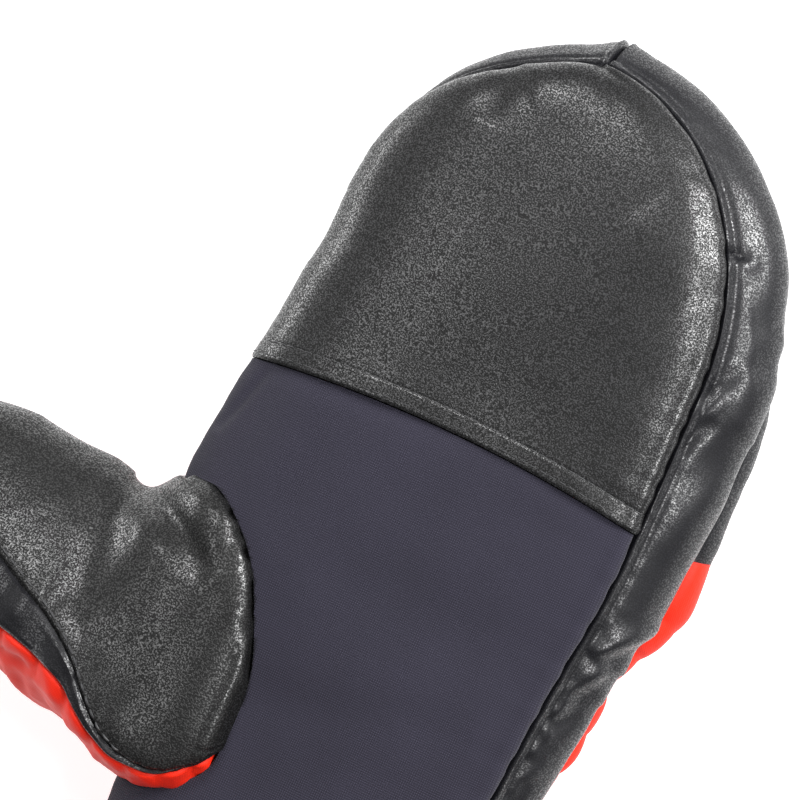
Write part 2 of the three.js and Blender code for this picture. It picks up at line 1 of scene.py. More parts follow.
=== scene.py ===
# %% [markdown]
# # A padded winter mitten, lying palm up
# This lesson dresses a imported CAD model. The model gives the size and place of every panel, and
# Blender gives the surfaces: grain, weave, seams, stitches, gathers and padding.
# Each panel of the real mitten is cut flat, sewn to its neighbours and filled, so each panel here
# is a wall with an outer and an inner face, stretched between the same seam lines as in the model.

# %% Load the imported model
import math

import bmesh
import bpy
import numpy as np
from mathutils import Matrix, Vector
from mathutils.kdtree import KDTree


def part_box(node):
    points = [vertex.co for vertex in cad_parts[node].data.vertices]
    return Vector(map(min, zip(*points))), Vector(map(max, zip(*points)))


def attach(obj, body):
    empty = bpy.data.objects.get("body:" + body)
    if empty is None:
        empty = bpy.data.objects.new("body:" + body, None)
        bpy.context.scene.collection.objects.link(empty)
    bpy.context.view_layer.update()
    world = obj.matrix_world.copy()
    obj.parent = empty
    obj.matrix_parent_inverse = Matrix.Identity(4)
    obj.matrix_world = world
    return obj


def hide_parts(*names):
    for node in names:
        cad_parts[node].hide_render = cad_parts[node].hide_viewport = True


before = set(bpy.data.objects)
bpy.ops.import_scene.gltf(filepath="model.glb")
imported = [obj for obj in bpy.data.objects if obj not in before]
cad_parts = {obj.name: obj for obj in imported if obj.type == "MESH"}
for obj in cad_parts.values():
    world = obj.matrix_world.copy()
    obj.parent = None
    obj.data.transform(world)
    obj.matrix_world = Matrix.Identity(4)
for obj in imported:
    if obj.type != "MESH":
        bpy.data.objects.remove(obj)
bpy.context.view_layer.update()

MM = 0.001
cuff_low, cuff_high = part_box("cuff")
SEAM_GAP = 0.3
WRIST = np.array([(cuff_low.x + cuff_high.x) / 2 / MM, cuff_high.y / MM + SEAM_GAP, 0])
print("nodes:", sorted(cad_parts))
print("middle of the wrist seam in mm:", WRIST.round(2))

# %% [markdown]
# ## Sizes of the pattern
# The panels follow the sizes of the model, in millimetres from the middle of the wrist seam.
# +X goes to the little finger, +Y to the fingertips and +Z out of the palm.

# %% Sizes
HAND_LENGTH = 235
PALM_WIDTH = 122
HAND_DEPTH = 53
TIP_ARCH = 75
TIP_SHIFT = -10
TIP_FULL = {-1: 3.4, 1: 2}
TIP_POINT = {-1: 1.2, 1: 2}
TIP_DOME = {"palm": 3.2, "back": 2.2}
TIP_SEAM_CURVE = 1.6
HEM_FROM_WRIST = 123
HEM_BOW = 4
CAP_STEP = 1.2
PALM_SEAM = {"outer": 15, "inner": 2.5, "tip": 9}
PALM_SEAM_HEIGHT = {"outer": 45, "inner": 30, "tip": 41}
BACK_SEAM = {"outer": 7, "inner": 4, "tip": 6}
BACK_SEAM_HEIGHT = 18
BULGE = {"outer": 11.5, "inner": 2, "tip": 7}
BULGE_ROUNDNESS = 0.85
PALM_ROUNDNESS = 3
PALM_OVERHANG = 2.5
SHELL_OVERHANG = 5
BACK_TIP_OVERHANG = 3
PALM_WALL = 4.5
SIDE_WALL = 5
BACK_WALL = 9
THUMB_WALL = 4.5
CUFF_WALL = 4
SEAM_LEAN = 0.15
QUILT_PITCH = 36
QUILT_DEPTH = 4
QUILT_EDGE_SHARE = 0.6
QUILT_SHARPNESS = 0.6
PRESSED_IN = 2.5
THUMB_SET_IN = 36.5
THUMB_REACH = 116
THUMB_WIDTH = 60
THUMB_PROUD = 2.5
THUMB_AXIS_Y = 48
CUFF_LENGTH = 70
CUFF_STEP = 1
CUFF_WIDTH = 120
CUFF_DEPTH = 55
CUFF_SQUARE = 0.75

HALF_WIDTH = PALM_WIDTH / 2
STRAIGHT = HAND_LENGTH - TIP_ARCH
THUMB_ROOT_X = THUMB_SET_IN - HALF_WIDTH
THUMB_ROOT_HEIGHT = HAND_DEPTH + THUMB_PROUD

# The outline from the wrist seam (0) to the start of the fingertip arch (1), in shares.
SIDES = {
    "along": (0.0, 0.1, 0.27, 0.41, 0.55, 0.63, 0.75, 1.0),
    "left": (0.83, 0.85, 0.91, 1.03, 1.1, 1.09, 1.06, 0.99),
    "right": (0.78, 0.79, 0.83, 0.87, 0.93, 0.99, 1.03, 1.03),
    "top": (0.86, 0.88, 0.92, 0.96, 0.98, 0.99, 1.0, 1.0),
    "inset": (0.5, 0.55, 0.62, 0.66, 0.76, 0.9, 1.0, 1.05),
    "bulge": (0.7, 0.65, 0.65, 0.7, 0.75, 0.72, 0.78, 1.0),
}
# The thumb from its root in the palm (0) to its tip (1), in shares, and its seams in degrees.
THUMB = {
    "out": (0, 0.018, 0.05, 0.1, 0.17, 0.25, 0.31, 0.37, 0.45, 0.55, 0.66, 0.76, 0.86, 0.94,
            0.98, 1),
    "upper": (-0.1, 0.09, 0.25, 0.45, 0.6, 0.7, 0.71, 0.66, 0.59, 0.63, 0.65, 0.65, 0.62, 0.54,
              0.44, 0.3),
    "lower": (-0.24, -0.38, -0.46, -0.54, -0.57, -0.56, -0.53, -0.49, -0.47, -0.43, -0.34, -0.24,
              -0.11, 0.06, 0.16, 0.3),
    "front": (0.76, 0.93, 0.97, 1, 1.01, 1, 0.98, 0.96, 0.92, 0.91, 0.89, 0.86, 0.82, 0.75, 0.65,
              0.46),
    "back": (0.51, 0.3, 0.25, 0.25, 0.25, 0.25, 0.25, 0.2, 0.15, 0.12, 0.11, 0.11, 0.14, 0.2,
             0.29, 0.46),
    "square": (6, 6, 6, 6, 5.5, 5, 4.2, 3.4, 3, 2.8, 2.6, 2.5, 2.4, 2.3, 2.2, 2),
    "seam": (135, 135, 135, 135, 134, 131, 127, 124, 119, 115, 113, 115, 118, 124, 126, 126),
    "strip": (143, 143, 143, 143, 143, 143, 143, 144, 145, 147, 149, 151, 154, 158, 158, 158),
}
THUMB_ROLL = 24
THUMB_ROLL_START, THUMB_ROLL_END = 0.2, 0.5
CROTCH_SEAM = -12
THUMB_TIP_SHARE = 0.93


def look_up(table, position, column, share):
    """A smooth curve through one column of a table."""
    x, y = np.array(table[position], float), np.array(table[column], float)
    slope = np.empty_like(y)
    slope[1:-1] = (y[2:] - y[:-2]) / (x[2:] - x[:-2])
    slope[0], slope[-1] = (y[1] - y[0]) / (x[1] - x[0]), (y[-1] - y[-2]) / (x[-1] - x[-2])
    share = np.clip(share, x[0], x[-1])
    k = np.clip(np.searchsorted(x, share, side="right") - 1, 0, len(x) - 2)
    span = x[k + 1] - x[k]
    t = (share - x[k]) / span
    ends = (2 * t**3 - 3 * t**2 + 1) * y[k] + (3 * t**2 - 2 * t**3) * y[k + 1]
    return ends + ((t**3 - 2 * t**2 + t) * slope[k] + (t**3 - t**2) * slope[k + 1]) * span


def mix(a, b, t):
    """From a at t = 0 to b at t = 1."""
    return a + (b - a) * t


def smooth(t, low=0.0, high=1.0):
    """A soft step from 0 at low to 1 at high."""
    t = np.clip((t - low) / (high - low), 0, 1)
    return t * t * (3 - 2 * t)


def dome(h, exponent):
    """1 in the middle and 0 at -1 and 1, squarer for a larger exponent."""
    return np.maximum(1 - np.abs(h) ** exponent, 0) ** (1 / exponent)


print("widest across the palm in mm:", PALM_WIDTH * max(SIDES["left"] + SIDES["right"]))

# %% [markdown]
# ## The camera comes first
# The photograph looks down on the palm from a long way off, leaning 15 degrees towards the
# little-finger side, so that the leather side panel shows. The mitten is turned 24.8 degrees in
# the picture. Four pixels are one millimetre at the palm. PHOTO_CENTRE is the point of the mitten
# in the middle of the photograph. The creases below are placed by where the photograph shows them,
# so the same lens formula is written once here and used for both.

# %% Camera
PHOTO_SIZE = 800
PIXELS_PER_MM = 4
LEAN = math.radians(15)
TURN = math.radians(24.8)
FAR = 2000
PHOTO_CENTRE = WRIST + np.array([-20.2, 129, 50])

towards_camera = np.array([math.sin(LEAN), 0, math.cos(LEAN)])
level = np.array([math.cos(LEAN), 0, -math.sin(LEAN)])
fingers = np.array([0, 1, 0])
picture_up = math.cos(TURN) * fingers - math.sin(TURN) * level
picture_right = math.cos(TURN) * level + math.sin(TURN) * fingers
camera_place = PHOTO_CENTRE + FAR * towards_camera


def seen(points):
    """Where points given in millimetres from the wrist seam show in the photograph, in pixels."""
    away = points + WRIST - camera_place
    depth = -(away @ towards_camera)
    focal = PIXELS_PER_MM * FAR
    x = PHOTO_SIZE / 2 + focal * (away @ picture_right) / depth
    y = PHOTO_SIZE / 2 - focal * (away @ picture_up) / depth
    return np.stack([x, y], axis=-1)


def make_camera():
    """A long lens that sees what seen() works out."""
    data = bpy.data.cameras.new("camera")
    data.lens = PIXELS_PER_MM * FAR * data.sensor_width / PHOTO_SIZE
    data.clip_end = 10 * FAR * MM
    camera = bpy.data.objects.new("camera", data)
    bpy.context.scene.collection.objects.link(camera)
    axes = np.stack([picture_right, picture_up, towards_camera], axis=1)
    rows = [[*axes[i], camera_place[i] * MM] for i in range(3)]
    camera.matrix_world = Matrix([*rows, [0, 0, 0, 1]])
    bpy.context.scene.camera = camera
    return camera


camera = make_camera()
print("lens in mm:", round(camera.data.lens), "and distance in m:", FAR * MM)

# %% [markdown]
# ## Seam lines and faces
# A row runs across the hand. It has a place along the hand, y, and on the rounded end an angle
# from 0 to a right angle. A seam is a line at an inset from the outline. Every face is stretched
# between two seams, so neighbours always meet, whatever the number of rows and columns.


# %% Rows, seams and faces of the hand
def rows_between(start, end, step=1.0, arch=0):
    """Rows from start to end, and then round the arch where arch is the number of its rows."""
    y = np.linspace(start, end, max(int(round((end - start) / step)), 1) + 1)
    angle = np.zeros_like(y)
    if arch:
        turned = np.linspace(0, math.pi / 2, arch + 1)[1:]
        y, angle = np.append(y, np.full(arch, STRAIGHT)), np.append(angle, turned)
    return {"y": y[:, None], "angle": angle[:, None]}


def plan_line(rows, side, inset_side, inset_tip):
    """The hand's outline seen from above, moved in by an inset, with its normals."""
    column = "left" if side < 0 else "right"
    width = look_up(SIDES, "along", column, rows["y"] / STRAIGHT) * HALF_WIDTH - inset_side
    across, height = width - side * TIP_SHIFT, TIP_ARCH - inset_tip
    s, point, full = np.sin(rows["angle"]), TIP_POINT[side], TIP_FULL[side]
    reach = np.maximum(1 - s**full, 0) ** (1 / point)
    nx, ny = point * reach ** (point - 1) / across, full * s ** (full - 1) / height
    length = np.hypot(nx, ny)
    return {
        "x": TIP_SHIFT + side * across * reach,
        "y": rows["y"] + height * s,
        "nx": side * nx / length,
        "ny": ny / length,
    }


def palm_seam(rows, side, wall, lift):
    """The seam between the palm and a side panel. lift is 1 for the piece above it, -1 below."""
    name = "inner" if side < 0 else "outer"
    narrow = 1 if side < 0 else look_up(SIDES, "along", "inset", rows["y"] / STRAIGHT)
    line = plan_line(rows, side, PALM_SEAM[name] * narrow + wall, PALM_SEAM["tip"] + wall)
    top = look_up(SIDES, "along", "top", rows["y"] / STRAIGHT)
    towards_tip = np.sin(rows["angle"]) ** TIP_SEAM_CURVE
    height = mix(PALM_SEAM_HEIGHT[name] * top, PALM_SEAM_HEIGHT["tip"], towards_tip)
    line["z"] = height - wall * SEAM_LEAN + lift * SEAM_GAP / 2
    return line


def back_seam(rows, side, wall, lift):
    """The seam between a side panel and the back of the hand."""
    name = "inner" if side < 0 else "outer"
    line = plan_line(rows, side, BACK_SEAM[name] + wall, BACK_SEAM["tip"] + wall)
    line["z"] = BACK_SEAM_HEIGHT + wall * SEAM_LEAN + lift * SEAM_GAP / 2 + 0 * line["x"]
    return line


def across_hand(s, left, right, extreme, overhang_left, overhang_right):
    """A face from the left seam (s = 0) to the right one (s = 1), rising to an extreme height."""
    h = 2 * s - 1
    rise = dome(h, PALM_ROUNDNESS)
    push = np.where(h < 0, overhang_left, overhang_right) * 4 * rise * (1 - rise)
    edge = {key: np.where(h < 0, left[key], right[key]) for key in ("nx", "ny", "z")}
    return np.stack(
        [
            mix(left["x"], right["x"], s) + edge["nx"] * push,
            mix(left["y"], right["y"], s) + edge["ny"] * push,
            mix(edge["z"], extreme, rise),
        ],
        axis=-1,
    )


def palm_face(rows, s, raised, wall):
    """The palm side: its outer face, raised by some millimetres, or its inner face at a wall. On
    both sides of the hem the rows bow towards the fingertips, as the hem does."""
    seam_wall = SIDE_WALL if wall else 0
    tip = np.sin(rows["angle"])
    top = look_up(SIDES, "along", "top", rows["y"] / STRAIGHT) * HAND_DEPTH + raised - wall
    extreme = mix(PALM_SEAM_HEIGHT["tip"] - wall * SEAM_LEAN, top, dome(tip, TIP_DOME["palm"]))
    seams = palm_seam(rows, -1, seam_wall, 1), palm_seam(rows, 1, seam_wall, 1)
    points = across_hand(s, *seams, extreme, PALM_OVERHANG * (1 - tip), 0)
    from_hem = (rows["y"] - HEM_FROM_WRIST) / (STRAIGHT - HEM_FROM_WRIST)
    window = np.where(rows["angle"] > 0, 0, np.maximum(1 - from_hem**2, 0))
    points[..., 1] += HEM_BOW * (1 - (2 * s - 1) ** 2) * window
    return points


def side_face(rows, side, w, wall, lift=1):
    """A side panel, from its palm seam (w = 0) to its back seam (w = 1), bulging in between."""
    a, b = palm_seam(rows, side, wall, -1), back_seam(rows, side, wall, lift)
    swell = look_up(SIDES, "along", "bulge", rows["y"] / STRAIGHT)
    full = BULGE["inner"] if side < 0 else BULGE["outer"] * swell
    bulge = mix(full, BULGE["tip"], np.sin(rows["angle"]) ** 2)
    bulge = bulge * np.sin(math.pi * w) ** BULGE_ROUNDNESS
    slope = np.arctan2(np.hypot(b["x"] - a["x"], b["y"] - a["y"]), a["z"] - b["z"])
    outwards = {key: mix(a[key], b[key], w) for key in ("x", "y", "z", "nx", "ny")}
    return np.stack(
        [
            outwards["x"] + outwards["nx"] * bulge * np.cos(slope),
            outwards["y"] + outwards["ny"] * bulge * np.cos(slope),
            outwards["z"] + bulge * np.sin(slope),
        ],
        axis=-1,
    )


def quilt(y):
    """How deep the sewn lines across the shell pull it in."""
    wave = np.abs(np.sin(math.pi * (HEM_FROM_WRIST - y) / QUILT_PITCH)) ** QUILT_SHARPNESS
    return QUILT_DEPTH * (1 - wave)


def back_face(rows, s, wall, quilted):
    """The back of the hand, pressed flat where it rests."""
    seam_wall = SIDE_WALL if wall else 0
    pulled = quilt(rows["y"]) if quilted and not wall else 0 * rows["y"]
    at_tip = BACK_SEAM_HEIGHT + seam_wall * SEAM_LEAN
    extreme = mix(at_tip, wall - PRESSED_IN + pulled, dome(np.sin(rows["angle"]), TIP_DOME["back"]))
    overhang = 0 if wall else (SHELL_OVERHANG if quilted else BACK_TIP_OVERHANG)
    reach = overhang - pulled * QUILT_EDGE_SHARE
    seams = back_seam(rows, -1, seam_wall, -1), back_seam(rows, 1, seam_wall, -1)
    return across_hand(s, *seams, extreme, reach, reach)


def close_to_seams(count):
    """Column shares across the hand, closer together near the seams."""
    return (1 - np.cos(math.pi * np.arange(count + 1) / count)) / 2


print("face functions:", palm_face.__name__, side_face.__name__, back_face.__name__)

# %% [markdown]
# ## From faces to solid walls
# A panel is two grids, its outer and its inner face, closed round the rim. Relief is a number of
# millimetres at each point, by which the outer face moves along its own normal. Distances along
# and away from a seam are measured on the grid itself, as a tape would measure them. Where two
# seams are gathered, some millimetres are added along one of them, so that they don't match.


# %% Mesh helpers
SHARP_EDGE = math.radians(50)


def normals_of(grid, centre):
    """Unit normals of a grid of points, pointing away from centre."""
    down = np.gradient(grid, axis=0)
    across = np.gradient(grid, axis=1)
    normal = np.cross(down, across)
    size = np.linalg.norm(normal, axis=2, keepdims=True)
    normal = normal / np.maximum(size, 1e-9)
    return normal if np.sum(normal * (grid - centre)) > 0 else -normal


def raised(grid, height, centre):
    """A grid moved along its normals by a height at each point."""
    return grid + normals_of(grid, centre) * height[..., None]


def hand_centre(grid):
    """The middle of the hand beside each point, so that normals can point away from it."""
    middle = grid.copy()
    middle[..., 0], middle[..., 2] = 0, HAND_DEPTH / 2
    return middle


def above_table(grid):
    """The grid with no point below the table that the mitten lies on."""
    return np.stack([grid[..., 0], grid[..., 1], np.maximum(grid[..., 2], 0)], axis=-1)


def tape(grid, axis):
    """Distance in millimetres from the start of each line of the grid."""
    step = np.linalg.norm(np.diff(grid, axis=axis), axis=2)
    pad = [(1, 0), (0, 0)] if axis == 0 else [(0, 0), (1, 0)]
    return np.pad(np.cumsum(step, axis=axis), pad)


def soft_noise(points, size, seed):
    """Smooth hills and hollows about size millimetres wide, mostly from -1 to 1."""
    maker = np.random.default_rng(seed)
    total = np.zeros(points.shape[:-1])
    waves = 9
    for _ in range(waves):
        direction = maker.normal(size=3)
        direction *= 2 * math.pi / size / np.linalg.norm(direction) * maker.uniform(0.5, 1.3)
        total += np.sin(points @ direction + maker.uniform(0, 2 * math.pi))
    return total / math.sqrt(waves)


def gathers(along, away, pitch, reach, depth):
    """Puckers about a pitch apart that run out from a seam and fade over their reach. Two waves
    that drift in and out of step keep them as uneven as a sewer's hand does."""
    beat = np.sin(2 * math.pi * along / pitch + 2.2 * np.sin(along / (3.1 * pitch)))
    off_beat = np.sin(2 * math.pi * along / (0.62 * pitch) + 1.7)
    return depth * np.exp(-away / reach) * (0.65 * beat + 0.35 * off_beat)


def ridge(away, at, wide, high):
    """A rounded ridge, or a groove where high is negative, at a distance from a seam."""
    return high * np.exp(-(((away - at) / wide) ** 2))


def press(points, creases):
    """How far the creases that the photograph shows push a face in, in millimetres."""
    view = seen(points)
    total = np.zeros(points.shape[:-1])
    for crease in creases:
        start, end = np.array(crease["start"], float), np.array(crease["end"], float)
        run = end - start
        t = np.clip((view - start) @ run / (run @ run), 0, 1)
        away = np.linalg.norm(view - start - t[..., None] * run, axis=-1) / PIXELS_PER_MM
        fade = np.sqrt(np.maximum(4 * t * (1 - t), 0))
        total += crease["deep"] * fade * np.exp(-((away / crease["wide"]) ** 2))
    return total


def mesh_object(name, points, faces):
    """A mesh in metres in the frame of the model, with smooth shading."""
    used, faces = np.unique(np.array(faces), return_inverse=True)
    mesh = bpy.data.meshes.new(name)
    mesh.from_pydata(((points[used] + WRIST) * MM).tolist(), [], faces.reshape(-1, 4).tolist())
    work = bmesh.new()
    work.from_mesh(mesh)
    bmesh.ops.recalc_face_normals(work, faces=work.faces)
    work.to_mesh(mesh)
    work.free()
    mesh.shade_smooth()
    mesh.set_sharp_from_angle(angle=SHARP_EDGE)
    made = bpy.data.objects.new(name, mesh)
    bpy.context.scene.collection.objects.link(made)
    return made


def grid_faces(rows, columns, ring=False):
    """The quads of a grid of points, where a ring's last column joins its first."""
    index = np.arange(rows * columns).reshape(rows, columns)
    if ring:
        index = np.hstack([index, index[:, :1]])
    a, b, c, d = index[:-1, :-1], index[:-1, 1:], index[1:, 1:], index[1:, :-1]
    return np.stack([a, b, c, d], axis=-1)


def wall(name, outer, inner, keep=None, ring=False):
    """A closed wall between two grids. keep says which quads of the grids belong to it."""
    quads = grid_faces(outer.shape[0], outer.shape[1], ring)
    quads = quads[keep] if keep is not None else quads.reshape(-1, 4)
    count = outer.shape[0] * outer.shape[1]
    edges = np.concatenate([quads[:, [k, (k + 1) % 4]] for k in range(4)])
    forwards, backwards = edges @ [count, 1], edges @ [1, count]
    first, second = edges[~np.isin(forwards, backwards)].T
    rim = np.stack([second, first, first + count, second + count], axis=1)
    faces = np.concatenate([quads, quads[:, ::-1] + count, rim])
    points = np.concatenate([outer.reshape(-1, 3), inner.reshape(-1, 3)])
    return mesh_object(name, points, faces)


def lofted(name, rings):
    """A closed solid through rings of points, with a fan of quads at each end."""
    quads = grid_faces(rings.shape[0], rings.shape[1], ring=True).reshape(-1, 4)
    half = rings.shape[1] // 2
    j = np.arange(half - 1)
    end = np.stack([j, j + 1, 2 * half - 2 - j, 2 * half - 1 - j], axis=1)
    last = end[:, ::-1] + (rings.shape[0] - 1) * rings.shape[1]
    return mesh_object(name, rings.reshape(-1, 3), np.concatenate([quads, end[:, ::-1], last]))


def cut(target, tool):
    """Cuts one solid out of another and keeps the result in the mesh."""
    modifier = target.modifiers.new("cut", "BOOLEAN")
    modifier.operation, modifier.object, modifier.solver = "DIFFERENCE", tool, "MANIFOLD"
    made = bpy.data.meshes.new_from_object(
        target.evaluated_get(bpy.context.evaluated_depsgraph_get())
    )
    target.modifiers.remove(modifier)
    made.materials.clear()
    made.polygons.foreach_set("material_index", np.zeros(len(made.polygons), dtype=np.int32))
    target.data = made
    made.name = target.name


def face_counts(*pieces):
    """The number of faces of each piece, for the notes that the cells print."""
    return {piece.name: len(piece.data.polygons) for piece in pieces}


print("mesh helpers:", wall.__name__, lofted.__name__, cut.__name__)

# %% [markdown]
# ## Creases that the photograph shows
# A worn mitten has a few creases of its own, and these place it in the light. Each is a line from
# one point of the photograph to another, with a width and a depth in millimetres. A negative
# depth is a raised fold. The pieces read them through the camera's formula, so each crease lies
# where the photograph has it, on the real surface and not on the picture.


# %% Crease tables
def crease_table(*rows):
    """Creases from rows of a start and an end in pixels, and a width and a depth in millimetres."""
    return [dict(zip(("start", "end", "wide", "deep"), row)) for row in rows]


CAP_CREASES = crease_table(
    ((478, 116), (520, 62), 4.5, 0.9),
    ((530, 96), (602, 74), 8, -0.6),
    ((580, 470), (640, 520), 3, 0.5),
    ((640, 210), (706, 300), 9, -0.5),
    ((310, 262), (352, 190), 5, 0.5),
)
PALM_CREASES = crease_table(
    ((268, 368), (216, 430), 1.1, 0.9),
    ((215, 690), (470, 735), 7, 0.8),
    ((300, 560), (560, 660), 10, 0.5),
    ((500, 500), (610, 560), 6, 0.4),
)
SIDE_CREASES = crease_table(
    ((712, 247), (752, 258), 1.0, 1.3),
    ((724, 268), (760, 262), 2.2, -0.7),
    ((752, 330), (800, 322), 7, 1.5),
    ((750, 374), (792, 360), 4, 1.4),
    ((690, 402), (746, 368), 2.2, 0.9),
    ((684, 424), (728, 396), 2.2, -0.6),
    ((676, 452), (716, 420), 1.8, 0.7),
    ((676, 500), (750, 440), 6, 1.1),
    ((600, 668), (660, 640), 2.4, 1.8),
    ((590, 654), (664, 628), 2.4, -1.2),
    ((570, 704), (622, 674), 2.4, 1.5),
    ((580, 690), (612, 664), 2.6, -0.8),
    ((550, 730), (600, 702), 2.6, 1.2),
)
THUMB_CREASES = crease_table(
    ((138, 470), (206, 578), 3.6, 2.6),
    ((186, 478), (232, 540), 5.0, -0.9),
    ((112, 470), (160, 560), 5.0, -0.8),
    ((40, 420), (120, 520), 9.0, 0.7),
    ((60, 600), (150, 720), 9.0, 0.8),
)
print("creases:", sum(map(len, (CAP_CREASES, PALM_CREASES, SIDE_CREASES, THUMB_CREASES))))

# %% [markdown]
# ## The hand's panels
# The palm is one piece of stretch fabric, and the fingertips are one piece of leather over wadding
# that laps it with a turned hem. They could be one bent sheet with a painted border, but then the
# hem would cast no shadow. They are two walls here, with the leather 1.2 mm proud of the fabric.
# Rows lie closer together at the hem, where the turned edge and the needle's grooves are small.


# %% Palm fabric and fingertip leather
def joined_rows(*parts):
    """Runs of rows end to end, where the first row of each run repeats the last one before it."""
    keys = ("y", "angle")
    first = parts[0]
    return {k: np.concatenate([first[k]] + [part[k][1:] for part in parts[1:]]) for k in keys}


PALM_COLUMNS, ARCH_ROWS = 112, 92
HEM_WIDE, HEM_ROWS = 10, 0.4
HEM_NEEDLES = (1.6, 5.2)
HEM_FOLD = 5.4
half_gap = SEAM_GAP / 2
across = close_to_seams(PALM_COLUMNS)[None, :]

palm_rows = rows_between(half_gap, HEM_FROM_WRIST - half_gap)
palm_flat = palm_face(palm_rows, across, 0, 0)
cap_rows = joined_rows(
    rows_between(HEM_FROM_WRIST + half_gap, HEM_FROM_WRIST + HEM_WIDE, HEM_ROWS),
    rows_between(HEM_FROM_WRIST + HEM_WIDE, STRAIGHT, arch=ARCH_ROWS),
)
cap_flat = palm_face(cap_rows, across, CAP_STEP, 0)


def from_sides(grid):
    """Distances in millimetres from the left and from the right edge of a panel."""
    left = tape(grid, 1)
    return left, left[:, -1:] - left


def wrist_dip(grid):
    """The dip of a panel into the wrist seam."""
    return ridge(grid[..., 1], at=0, wide=1.8, high=-0.8)


def filled_seam(right):
    """The roll of wadding that fills the palm side beside its outer seam."""
    return ridge(right, at=3, wide=2.6, high=1.1)


def palm_relief(grid):
    """Slack fabric that is gathered at its sides and tucked under the leather's hem."""
    left, right = from_sides(grid)
    edge = np.minimum(left, right)
    to_hem = tape(grid[::-1], 0)[::-1]
    slack = 0.45 * soft_noise(grid, size=46, seed=1) + 0.16 * soft_noise(grid, size=17, seed=2)
    pulled = gathers(grid[..., 1], edge, pitch=9, reach=7, depth=0.22)
    tucked = ridge(to_hem, at=0, wide=3.5, high=-0.7) + wrist_dip(grid)
    filled = filled_seam(right)
    return slack * smooth(edge, 0, 14) + pulled + tucked + filled - press(grid, PALM_CREASES)


def cap_relief(grid):
    """Leather over wadding, with a turned hem that is thicker up to its second row of stitches."""
    left, right = from_sides(grid)
    edge = np.minimum(left, right)
    hem = tape(grid, 0)
    slack = 0.4 * soft_noise(grid, size=60, seed=3) + 0.1 * soft_noise(grid, size=22, seed=4)
    pulled = gathers(grid[..., 1], edge, pitch=8, reach=5, depth=0.3)
    turned = 0.22 * np.exp(-((hem / HEM_FOLD) ** 6)) + ridge(hem, at=0, wide=0.4, high=-0.4)
    near, far = HEM_NEEDLES
    needle = ridge(hem, near, wide=0.4, high=-0.06) + ridge(hem, far, wide=0.35, high=-0.26)
    bunched = gathers(grid[..., 0], hem, pitch=7, reach=6, depth=0.06)
    folds = pulled + bunched + filled_seam(right) - press(grid, CAP_CREASES)
    return slack * smooth(edge, 0, 12) + turned + needle + folds


palm_top = raised(palm_flat, palm_relief(palm_flat), hand_centre(palm_flat))
cap_top = raised(cap_flat, cap_relief(cap_flat), hand_centre(cap_flat))
palm_panel = wall("palm_fabric_panel", palm_top, palm_face(palm_rows, across, 0, PALM_WALL))
fingertips = wall("fingertip_leather", cap_top, palm_face(cap_rows, across, 0, PALM_WALL))
print("palm and fingertip points:", palm_flat[..., 0].size, cap_flat[..., 0].size)

# %% [markdown]
# ## Side panels
# A leather panel about 16 mm wide runs down the little-finger side, and another from the fingertips
# to the crotch of the thumb. Their edges are rolled like piping where they meet the palm, so a
# ridge with a groove on each side runs along that seam. Gathers run out from both seams, since the
# panel is eased round the curve of the fingertips there.

# %% Side leather
SIDE_COLUMNS = 46
PUCKERED_TO, PUCKER_FADE = 118, 30
side_across = close_to_seams(SIDE_COLUMNS)[None, :]


def side_relief(grid, creases):
    """Leather with piping, gathers and crumples along its palm seam, and a joint at the tip."""
    palm_edge, back_edge = from_sides(grid)
    along = tape(grid, 0)
    width = palm_edge + back_edge
    piping = ridge(palm_edge, at=1.2, wide=0.9, high=1.2)
    grooves = ridge(palm_edge, at=3.2, wide=0.8, high=-0.45)
    grooves += ridge(palm_edge, at=0, wide=0.4, high=-0.3)
    eased = gathers(along, palm_edge, pitch=7.5, reach=5, depth=0.12)
    eased += gathers(along + 40, back_edge, pitch=14, reach=6, depth=0.2)
    puckered = 1 - smooth(grid[..., 1], PUCKERED_TO - PUCKER_FADE, PUCKERED_TO)
    crumple = soft_noise(grid, size=6.5, seed=21) + 0.6 * soft_noise(grid, size=3.8, seed=22)
    eased += crumple * ridge(palm_edge, at=5, wide=4, high=0.22) * puckered
    to_tip = along[-1:] - along
    joint = ridge(to_tip, at=1.3, wide=0.9, high=0.9) + ridge(to_tip, at=0, wide=0.45, high=-0.7)
    joint += ridge(to_tip, at=3, wide=3, high=0.7)
    slack = 0.45 * soft_noise(grid, size=42, seed=5) + 0.12 * soft_noise(grid, size=16, seed=6)
    middle = smooth(np.minimum(palm_edge, back_edge) / width, 0, 0.3)
    folds = joint + slack * middle - press(grid, creases)
    return piping + grooves + eased + folds + wrist_dip(grid)


def side_panel(name, start, side, creases):
    """A side panel as a wall, and the grid of its outer face."""
    rows = rows_between(start, STRAIGHT, arch=ARCH_ROWS)
    flat = side_face(rows, side, side_across, 0)
    top = above_table(raised(flat, side_relief(flat, creases), hand_centre(flat)))
    return wall(name, top, side_face(rows, side, side_across, SIDE_WALL)), top


outer_side, outer_top = side_panel("outer_side_leather", half_gap, 1, SIDE_CREASES)
inner_side = side_panel("inner_side_leather", THUMB_AXIS_Y + SIDE_WALL, -1, [])[0]
print("side panel length in mm:", tape(outer_top, 0)[-1, 0].round())

# %% [markdown]
# ## The padded back
# The back of the hand is a shell of orange fabric, filled and sewn across in baffles 36 mm apart.
# It lies on the table, so the filling is pressed flat under it and swells past its seams at the
# sides. Where the shell is gathered into the side panel's seam it makes small scallops. They are
# rounded lobes with a sharp pinch between them, which a plain sine wave would not give.


